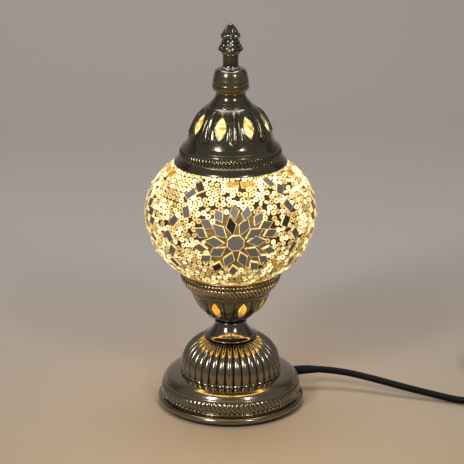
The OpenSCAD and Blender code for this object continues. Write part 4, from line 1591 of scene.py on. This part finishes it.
    def bud_patina(self, radius: float, azimuth: float, height: float) -> float:
        """Black patina and painted shade in the finial's folds and flutes."""
        petal = self.bud_petal(azimuth)
        if height > self.flutes_low:
            return 1.0 - self.bud_flute(azimuth) / 0.5
        if self.folds_low + 0.2 < height < self.folds_high:
            fold = self.bud_fold(petal, height)
            return (-0.15 - 0.9 * fold) * (1 - hump(petal, 0.26)) + 0.6 * hump(1 - petal, 0.1)
        return 0.9 * hump(height - 278.4, 0.6)

    def finial(self, finishes: Finishes) -> None:
        """The bud finial on its serrated ring."""
        line = [(3, 267.8), (6.2, 267.8), (6.5, 268.2), (6.3, 268.8), (7.2, 269.2), (8.2, 269.9),
                (8.65, 270.9), (8.5, 271.8), (7.7, 273.1), (6.7, 274.8), (6.0, 276.6),
                (5.7, 278.2), (6.0, 279.4), (6.6, 280.6), (6.5, 281.8), (5.9, 282.7),
                (5.2, 283.9), (4.4, 285.4), (3.4, 287.0), (2.2, 288.4), (1.0, 289.3), (0, 289.5)]
        bm = lathe(dense(rounded(line, 0.8, 3), 0.28), 144)
        emboss(bm, self.bud_relief, self.bud_patina)
        for v in bm.verts:
            if 267.9 < v.co.z < 269.2:
                grow = 1 + 0.05 * abs(math.sin(math.radians(azimuth_of(v.co) * self.flutes)))
                v.co.x, v.co.y = v.co.x * grow, v.co.y * grow
        paint_faces(bm, 1, lambda c: c.z < 269.25)
        for k in range(4):
            ball(bm, around(5.9, 90 * k, 279.6), 1.05, 1.25)
        finish_piece(bm, "bud_finial", Body.CAP,
                     [finishes["dark_bronze"], finishes["soft_brass"]], ["finial"])

    def build(self, finishes: Finishes) -> None:
        """Makes the cap's pieces."""
        self.shell(finishes)
        rope = RopeBand((36.6, 193.0), (35.7, 198.4), 80, 1.15, 1.0, 0.55)
        rope.build("cap_rope_moulding", "cap_rope", Body.CAP,
                   [finishes["cap_bronze_shaded_copy"], finishes["soft_brass"]])
        self.stack(finishes)
        self.finial(finishes)


# ---------------------------------------------------------------- mosaic


class Cut(Enum):
    """How a tile is cut."""

    OCTAGON = "octagon"
    RHOMB = "rhomb"
    OBLONG = "oblong"


@dataclass
class Tile:
    """One mosaic tile: its cut, its place on the globe and its shade."""

    cut: Cut
    length: float
    width: float
    place: Matrix
    tone: float
    extra: float = 0.0

    def outline(self, rng: random.Random) -> list[Point2]:
        """The tile's corners, a little uneven as cut by hand."""
        a, b = self.length / 2, self.width / 2
        if self.cut is Cut.OCTAGON:
            ideal = [(a * math.cos(math.radians(22.5 + 45 * k)),
                      b * math.sin(math.radians(22.5 + 45 * k))) for k in range(8)]
        elif self.cut is Cut.RHOMB:
            ideal = [(-a, 0), (0.15 * b, -b), (a, 0), (-0.15 * b, b)]
        else:
            ideal = [(-a, -b), (a, -b), (a, b), (-a, b)]
        return [(x + rng.uniform(-0.3, 0.3), y + rng.uniform(-0.3, 0.3)) for x, y in ideal]

    def covers(self, spot: Vector, margin: float) -> float:
        """How deep a point lies in the tile.

        Args:
            spot: the point.
            margin: the margin round the tile that counts as the tile.

        Returns:
            0 in the tile's middle, 1 on the margin's edge, and more outside.
        """
        local = self.place.inverted() @ spot
        a, b = self.length / 2 + margin, self.width / 2 + margin
        if self.cut is Cut.RHOMB:
            return abs(local.x) / (a * 1.08) + abs(local.y) / (b * 1.08)
        return max(abs(local.x) / a, abs(local.y) / b)

    def mesh(self, thick: float, rng: random.Random) -> bmesh.types.BMesh:
        """The tile's mesh: a face inside a ground edge.

        Args:
            thick: the tile's thickness.
            rng: the mosaic's chance.

        Returns:
            The mesh, in its place on the globe.
        """
        bm = bmesh.new()
        face = bm.faces.new([bm.verts.new((x, y, 0)) for x, y in self.outline(rng)])
        face.material_index = 1
        made = bmesh.ops.extrude_face_region(bm, geom=[face])["geom"]
        verts = [g for g in made if isinstance(g, bmesh.types.BMVert)]
        bmesh.ops.translate(bm, verts=verts, vec=(0, 0, thick + self.extra))
        top = [g for g in made if isinstance(g, bmesh.types.BMFace)][0]
        bmesh.ops.inset_region(bm, faces=[top], thickness=0.34, depth=0.0)
        bmesh.ops.inset_region(bm, faces=[top], thickness=0.10, depth=0.10)
        for other in bm.faces:
            other.material_index = 1
        top.material_index = 0
        bmesh.ops.transform(bm, matrix=self.place, verts=bm.verts)
        return bm


@dataclass
class Globe:
    """The blown globe with its mosaic of tiles and seed beads."""

    middle: float = 150.0
    radius: float = 60.5
    low: float = 53.0
    up: float = 46.2
    grout: float = 0.7
    tile_thick: float = 1.5
    mosaic_low: float = 108.4
    mosaic_high: float = 186.0
    mean_width: float = 57.0
    mean_height: float = 50.0
    octagon: Point2 = (13.4, 12.6)
    inner_rhomb: Point2 = (14.6, 8.5)
    inner_reach: float = 14.7
    outer_rhomb: Point2 = (11.6, 7.9)
    outer_reach: float = 25.2
    line_tile: Point2 = (8.6, 5.8)
    border_tile: Point2 = (9.4, 5.6)
    border_height: float = 182.4
    tile_search: float = 10.0
    star_height: float = 146.0
    stars: tuple[int, ...] = (-90, 0, 90, 180)
    inner_bearings: tuple[int, ...] = (3, 30, 68, 103, 139, 178, 209, 250, 291, 326)
    outer_bearings: tuple[int, ...] = (14, 31, 50, 72, 92, 119, 143, 162, 191, 214, 238, 267,
                                       304, 323, 343)
    left_line: tuple[Point2, ...] = ((15, 40), (9, 33), (10, 18), (1, 9), (-3, -5), (-2, -16),
                                     (-5, -29))
    right_line: tuple[Point2, ...] = ((-12, 43), (-5, 35), (-4, 21), (-9, 9), (-1, -3),
                                      (-2, -14), (3, -28))
    border_count: int = 26
    bead_ring: float = 1.36
    bead_tube: float = 0.83
    bead_pitch: float = 4.42
    star_clear: float = 21.8
    longest_push: float = 1.6
    closest: float = 3.5
    fill_gap: float = 3.6
    fill_tries: int = 16000
    seed: int = 7

    def rise_at(self, height: float, lift: float) -> float:
        """The rise angle, in degrees, of a height on the globe."""
        reach = (self.low if height < self.middle else self.up) + lift
        return math.degrees(math.asin((height - self.middle) / reach))

    def spot(self, azimuth: float, rise: float, lift: float, spin: float = 0.0) -> Matrix:
        """A frame on the globe: +Z outward, +Y up the globe and +X round it.

        Args:
            azimuth: its azimuth, in degrees.
            rise: its rise angle, in degrees.
            lift: how far it lies off the glass, in millimetres.
            spin: its turn about its own +Z, in degrees.

        Returns:
            The frame.
        """
        t = math.radians(rise)
        wide, tall = self.radius + lift, (self.low if rise < 0 else self.up) + lift
        lean = math.atan2(wide * math.sin(t), tall * math.cos(t))
        basis = Matrix(((0, 0, 1, 0), (1, 0, 0, 0), (0, 1, 0, 0), (0, 0, 0, 1)))
        place = Matrix.Translation((wide * math.cos(t), 0, self.middle + tall * math.sin(t)))
        return (Matrix.Rotation(math.radians(azimuth), 4, "Z") @ place
                @ Matrix.Rotation(-lean, 4, "Y") @ basis
                @ Matrix.Rotation(math.radians(spin), 4, "Z"))

    def in_star(self, azimuth: float, reach: float, bearing: float, spin: float) -> Matrix:
        """A frame at a distance and a bearing from a star's middle.

        Args:
            azimuth: the star's azimuth, in degrees.
            reach: the distance from its middle, in millimetres.
            bearing: the direction from its middle, in degrees.
            spin: a further turn of the frame, in degrees.

        Returns:
            The frame, with +X along the bearing.
        """
        start = self.rise_at(self.star_height, 0)
        b = math.radians(bearing)
        rise = start + math.degrees(reach * math.sin(b) / self.mean_width)
        ring = self.radius * math.cos(math.radians((rise + start) / 2))
        turn = math.degrees(reach * math.cos(b) / ring)
        return self.spot(azimuth + turn, rise, self.grout + 0.05, bearing + spin)

    def shell_line(self, lift: float, low: float, high: float, parts: int) -> list[Point2]:
        """The globe's outline from one height to another.

        Args:
            lift: how far it lies off the glass.
            low: its lower end.
            high: its upper end.
            parts: how many stretches it has.

        Returns:
            The outline as (radius, height).
        """
        start, end = self.rise_at(low, lift), self.rise_at(high, lift)
        line = []
        for k in range(parts + 1):
            rise = start + (end - start) * k / parts
            tall = (self.low if rise < 0 else self.up) + lift
            t = math.radians(rise)
            line.append(((self.radius + lift) * math.cos(t), self.middle + tall * math.sin(t)))
        return line

    def lay_tiles(self, rng: random.Random) -> dict[str, list[Tile]]:
        """Every tile, by the CAD node that it stands for.

        Args:
            rng: the mosaic's chance.

        Returns:
            The tiles of each CAD node.
        """
        laid: dict[str, list[Tile]] = {"star_centres": [], "inner_rhombs": [],
                                       "outer_rhombs": [], "line_tiles": [], "border_tiles": []}
        for star in self.stars:
            middle = self.in_star(star, 0, 0, 0)
            laid["star_centres"].append(Tile(Cut.OCTAGON, *self.octagon, middle, 0.7))
            for k, bearing in enumerate(self.inner_bearings):
                place = self.in_star(star, self.inner_reach, bearing + rng.uniform(-1.5, 1.5),
                                     rng.uniform(-4, 4))
                tone = 0.0 if k == 3 else rng.uniform(0.45, 0.75)
                laid["inner_rhombs"].append(Tile(Cut.RHOMB, *self.inner_rhomb, place, tone))
            for k, bearing in enumerate(self.outer_bearings):
                place = self.in_star(star, self.outer_reach, bearing + rng.uniform(-1, 1),
                                     rng.uniform(-17, 17))
                tone = 0.05 if k == 10 else rng.uniform(0.35, 0.8)
                laid["outer_rhombs"].append(
                    Tile(Cut.RHOMB, *self.outer_rhomb, place, tone, 0.25))
        for k, star in enumerate(self.stars):
            line = self.right_line if k % 2 == 0 else self.left_line
            for i, (turn, rise) in enumerate(line):
                place = self.spot(star + 45 + turn, rise, self.grout + 0.05,
                                  (55 if i % 2 else 118) + rng.uniform(-8, 8))
                tone = rng.choice((0.1, 0.45, 0.6, 0.75))
                laid["line_tiles"].append(Tile(Cut.OBLONG, *self.line_tile, place, tone))
        band = self.rise_at(self.border_height, self.grout)
        for k in range(self.border_count):
            place = self.spot(360 * k / self.border_count + 5, band, self.grout + 0.05,
                              rng.uniform(-5, 5))
            taken = any(t.covers(place.translation, 4.0) < 1 for t in laid["line_tiles"])
            if k % 7 == 4 or taken:
                continue
            laid["border_tiles"].append(Tile(Cut.OBLONG, *self.border_tile, place, rng.random()))
        return laid

    def build_tiles(self, laid: dict[str, list[Tile]], finishes: Finishes,
                    rng: random.Random) -> None:
        """Makes each kind of tile as one piece, with a shade for each tile.

        Args:
            laid: the tiles of each CAD node.
            finishes: the lamp's materials.
            rng: the mosaic's chance.
        """
        names = {"star_centres": "star_octagons", "inner_rhombs": "star_inner_rhombs",
                 "outer_rhombs": "star_outer_rhombs", "line_tiles": "zigzag_tiles",
                 "border_tiles": "amber_border"}
        for node, tiles in laid.items():
            bm, tones = bmesh.new(), []
            for tile in tiles:
                made = tile.mesh(self.tile_thick, rng)
                tones += [tile.tone] * len(made.verts)
                join_into(bm, made)
            amber = node == "border_tiles"
            dress = [finishes["amber_tile_face" if amber else "mirror_face"],
                     finishes["gold_edge"]]
            piece = finish_piece(bm, names[node], Body.GLOBE,
                                 dress, [node])
            set_numbers(piece, "tone", tones)

    def bead_spots(self, laid: dict[str, list[Tile]], rng: random.Random) -> list[Vector]:
        """Packs beads over the globe by rows that are then pushed apart.

        Args:
            laid: the tiles of each CAD node.
            rng: the mosaic's chance.

        Returns:
            The beads' places on the grout.
        """
        lift = self.grout
        tiles = [t for group in laid.values() for t in group]
        tree = tree_of([tile.place.translation for tile in tiles])
        spots = []
        rise, top = self.rise_at(self.mosaic_low, lift), self.rise_at(self.mosaic_high, lift)
        while rise < top:
            t = math.radians(rise)
            count = round(TAU * (self.radius + lift) * math.cos(t) / self.bead_pitch)
            for k in range(count):
                turn = 360 * (k + rng.random() * 0.3) / count + rise * 7
                spots.append(self.spot(turn, rise + rng.uniform(-0.4, 0.4), lift).translation)
            slope = math.hypot((self.radius + lift) * math.sin(t), self.mean_height * math.cos(t))
            rise += math.degrees(self.bead_pitch * 0.88 / slope)
        for _ in range(14):
            spots = self._push_apart(spots, tiles, tree)
        kept = self._keep_clear(spots, tiles, tree)
        return kept + self._fill_gaps(kept, tiles, tree, rng)

    def _blocked(self, spot: Vector, tiles: list[Tile], tree: kdtree.KDTree) -> bool:
        """Whether a bead here would lie on a tile or among a star's tiles."""
        if any(tiles[j].covers(spot, 1.0) < 1
               for _, j, _ in tree.find_range(spot, self.tile_search)):
            return True
        middles = [self.in_star(star, 0, 0, 0).translation for star in self.stars]
        return any((middle - spot).length < self.star_clear for middle in middles)

    def _fill_gaps(self, kept: list[Vector], tiles: list[Tile], tree: kdtree.KDTree,
                   rng: random.Random) -> list[Vector]:
        """Drops further beads where there is still room for one.

        Args:
            kept: the beads so far.
            tiles: every tile.
            tree: the search tree over the tiles.
            rng: the mosaic's chance.

        Returns:
            The further beads.
        """
        near = tree_of(kept)
        low = self.rise_at(self.mosaic_low, self.grout)
        high = self.rise_at(self.mosaic_high, self.grout)
        extra: list[Vector] = []
        for _ in range(self.fill_tries):
            spot = self.spot(rng.uniform(-180, 180), rng.uniform(low, high),
                             self.grout).translation
            if near.find(spot)[2] < self.fill_gap:
                continue
            if any((spot - other).length < self.fill_gap for other in extra):
                continue
            if not self._blocked(spot, tiles, tree):
                extra.append(spot)
        return extra

    def _on_skin(self, spot: Vector) -> Vector:
        """The nearest point of the grout's surface, and inside the mosaic's edges."""
        height = min(186.2, max(108.2, spot.z))
        rise = self.rise_at(height, self.grout)
        return self.spot(azimuth_of(spot), rise, self.grout).translation

    def _push_apart(self, spots: list[Vector], tiles: list[Tile],
                    tree: kdtree.KDTree) -> list[Vector]:
        """One step of moving beads away from each other and off the tiles.

        Args:
            spots: the beads' places.
            tiles: every tile.
            tree: the search tree over the tiles.

        Returns:
            Their new places.
        """
        near = tree_of(spots)
        moved = []
        for i, spot in enumerate(spots):
            shift = Vector()
            for other, j, gap in near.find_range(spot, self.bead_pitch):
                if j != i and gap > 1e-4:
                    shift += (spot - other) / gap * (self.bead_pitch - gap) * 0.42
            for middle, j, gap in tree.find_range(spot, self.tile_search):
                depth = tiles[j].covers(spot, 1.75)
                if depth < 1 and gap > 1e-4:
                    shift += (spot - middle) / gap * (1 - depth) * 3.0
            if shift.length > self.longest_push:
                shift = shift.normalized() * self.longest_push
            moved.append(self._on_skin(spot + shift))
        return moved

    def _keep_clear(self, spots: list[Vector], tiles: list[Tile],
                    tree: kdtree.KDTree) -> list[Vector]:
        """Drops beads that still lie on a tile or too near another bead.

        Args:
            spots: the beads' places.
            tiles: every tile.
            tree: the search tree over the tiles.

        Returns:
            The places that are kept.
        """
        near = tree_of(spots)
        kept, gone = [], set()
        for i, spot in enumerate(spots):
            on_tile = self._blocked(spot, tiles, tree)
            close = [j for _, j, _ in near.find_range(spot, self.closest)
                     if j < i and j not in gone]
            if on_tile or close:
                gone.add(i)
            else:
                kept.append(spot)
        return kept

    def bead_form(self) -> bpy.types.Mesh:
        """One ring-shaped bead that lies flat, as a scratch mesh."""
        bm = bmesh.new()
        ring = bmesh.ops.create_circle(bm, segments=6, radius=self.bead_tube)["verts"]
        turn = Matrix.Rotation(math.radians(90), 4, "X")
        bmesh.ops.transform(bm, matrix=turn, verts=ring)
        bmesh.ops.scale(bm, verts=ring, vec=(1, 1, 1.25))
        bmesh.ops.translate(bm, verts=ring, vec=(self.bead_ring, 0, 0))
        bmesh.ops.spin(bm, geom=bm.verts[:] + bm.edges[:], axis=(0, 0, 1), cent=(0, 0, 0),
                       steps=10, angle=TAU, use_merge=True)
        bmesh.ops.remove_doubles(bm, verts=bm.verts, dist=1e-4)
        bmesh.ops.recalc_face_normals(bm, faces=bm.faces)
        form = bpy.data.meshes.new("bead_form")
        bm.to_mesh(form)
        bm.free()
        return form

    def build_beads(self, spots: list[Vector], finishes: Finishes, rng: random.Random) -> None:
        """Strews the beads: most are cream, some amber; a few lie tilted.

        Args:
            spots: the beads' places on the grout.
            finishes: the lamp's materials.
            rng: the mosaic's chance.
        """
        form = self.bead_form()
        deep = self.bead_tube * 1.25
        lifts = [(v.co.z + deep) / (2 * deep) for v in form.vertices]
        kinds = {"cream": (bmesh.new(), [], []), "amber": (bmesh.new(), [], [])}
        for spot in spots:
            kind = "amber" if rng.random() < 0.07 else "cream"
            bm, tones, heights = kinds[kind]
            place = self.spot(azimuth_of(spot), self.rise_at(spot.z, self.grout),
                              self.grout + deep * 0.85)
            tilt = rng.gauss(0, 9) if rng.random() < 0.9 else rng.uniform(25, 70)
            size = rng.uniform(0.90, 1.05)
            lie = (place @ Matrix.Rotation(rng.uniform(0, TAU), 4, "Z")
                   @ Matrix.Rotation(math.radians(tilt), 4, "X") @ Matrix.Scale(size, 4))
            copy = form.copy()
            copy.transform(lie)
            bm.from_mesh(copy)
            bpy.data.meshes.remove(copy)
            tones += [rng.random()] * len(lifts)
            heights += lifts
        for kind, (bm, tones, heights) in kinds.items():
            nodes = ["bead_layer"] if kind == "cream" else []
            piece = finish_piece(bm, f"{kind}_beads", Body.GLOBE,
                                 [finishes[f"{kind}_bead"]], nodes, recalc=False)
            piece.data.set_sharp_from_angle(angle=math.pi)
            set_numbers(piece, "tone", tones)
            set_numbers(piece, "lift", heights)
        bpy.data.meshes.remove(form)
        LOG.info("beads: %d", len(spots))

    def build_grout(self, finishes: Finishes) -> None:
        """The uneven cement skin that the mosaic is set in."""
        bm = lathe(self.shell_line(self.grout, 107.5, 187.0, 84), 220)

        def lumps(radius: float, azimuth: float, height: float) -> float:
            """Soft lumps as the cement was spread."""
            spot = around(radius, azimuth, height)
            return 0.28 * noise.noise(spot * 0.45) + 0.12 * noise.noise(spot * 1.3)

        emboss(bm, lumps)
        # Painted shade: each point's number is 1 in the open grout round a star and 0 among the
        # beads, where the grout is drawn darker.
        middles = [self.in_star(star, 0, 0, 0).translation for star in self.stars]
        layer = bm.verts.layers.float.new("unshaded")
        for v in bm.verts:
            gap = min((v.co - middle).length for middle in middles)
            v[layer] = 1 - ease((gap - self.star_clear) / 5)
        piece = finish_piece(bm, "grout_skin", Body.GLOBE, [finishes["glowing_grout"]],
                             ["grout_bed"])
        thicken(piece, 0.35)

    def build(self, finishes: Finishes) -> None:
        """Makes the mosaic."""
        rng = random.Random(self.seed)
        laid = self.lay_tiles(rng)
        self.build_grout(finishes)
        self.build_tiles(laid, finishes, rng)
        self.build_beads(self.bead_spots(laid, rng), finishes, rng)


def set_numbers(piece: bpy.types.Object, name: str, values: Sequence[float]) -> None:
    """Stores one number for each point of a piece."""
    store = piece.data.attributes.new(name, "FLOAT", "POINT")
    store.data.foreach_set("value", values)


# ---------------------------------------------------------------- inner parts


class InnerParts:
    """The CAD nodes that keep their shape and only get their finish."""

    DRESS = {
        "base_pad": "foam_pad", "base_plate": "zinc_plate", "plate_screws": "zinc_plate",
        "stem_rod": "zinc_plate", "foot_washer": "zinc_plate", "foot_nut": "turned_brass",
        "cup_washer": "zinc_plate", "cup_nut": "turned_brass", "gallery_ring": "turned_brass",
        "gasket": "rubber_ring", "holder_base": "lit_brass_lining",
        "holder_sleeve": "turned_brass", "holder_core": "glazed_core",
        "holder_shell": "turned_brass", "holder_contact": "turned_brass",
        "bulb_contact": "nickel_pin", "bulb_insulator": "black_glass", "bulb_cap": "nickel_pin",
        "bulb_glass": "bulb_clear", "bulb_stem": "stem_glass", "filaments": "filament_lit",
        "globe_glass": "globe_blown_glass", "cap_nut": "turned_brass", "cap_rod": "zinc_plate",
        "inner_cord": "flex_sheath",
    }

    def build(self, finishes: Finishes) -> None:
        """Dresses each kept node."""
        for node, finish in self.DRESS.items():
            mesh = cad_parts[node].data
            mesh.materials.clear()
            mesh.materials.append(finishes[finish])


def main() -> None:
    """Builds the lamp and its stage."""
    logging.basicConfig(level=logging.INFO, format="%(name)s %(message)s")
    finishes = Finishes()
    stage = Stage()
    stage.camera()
    Flex().build(finishes)
    stage.floor()
    stage.lights()
    Foot().build(finishes)
    Cup().build(finishes)
    Cap().build(finishes)
    Globe().build(finishes)
    InnerParts().build(finishes)


if __name__ == "__main__":
    main()
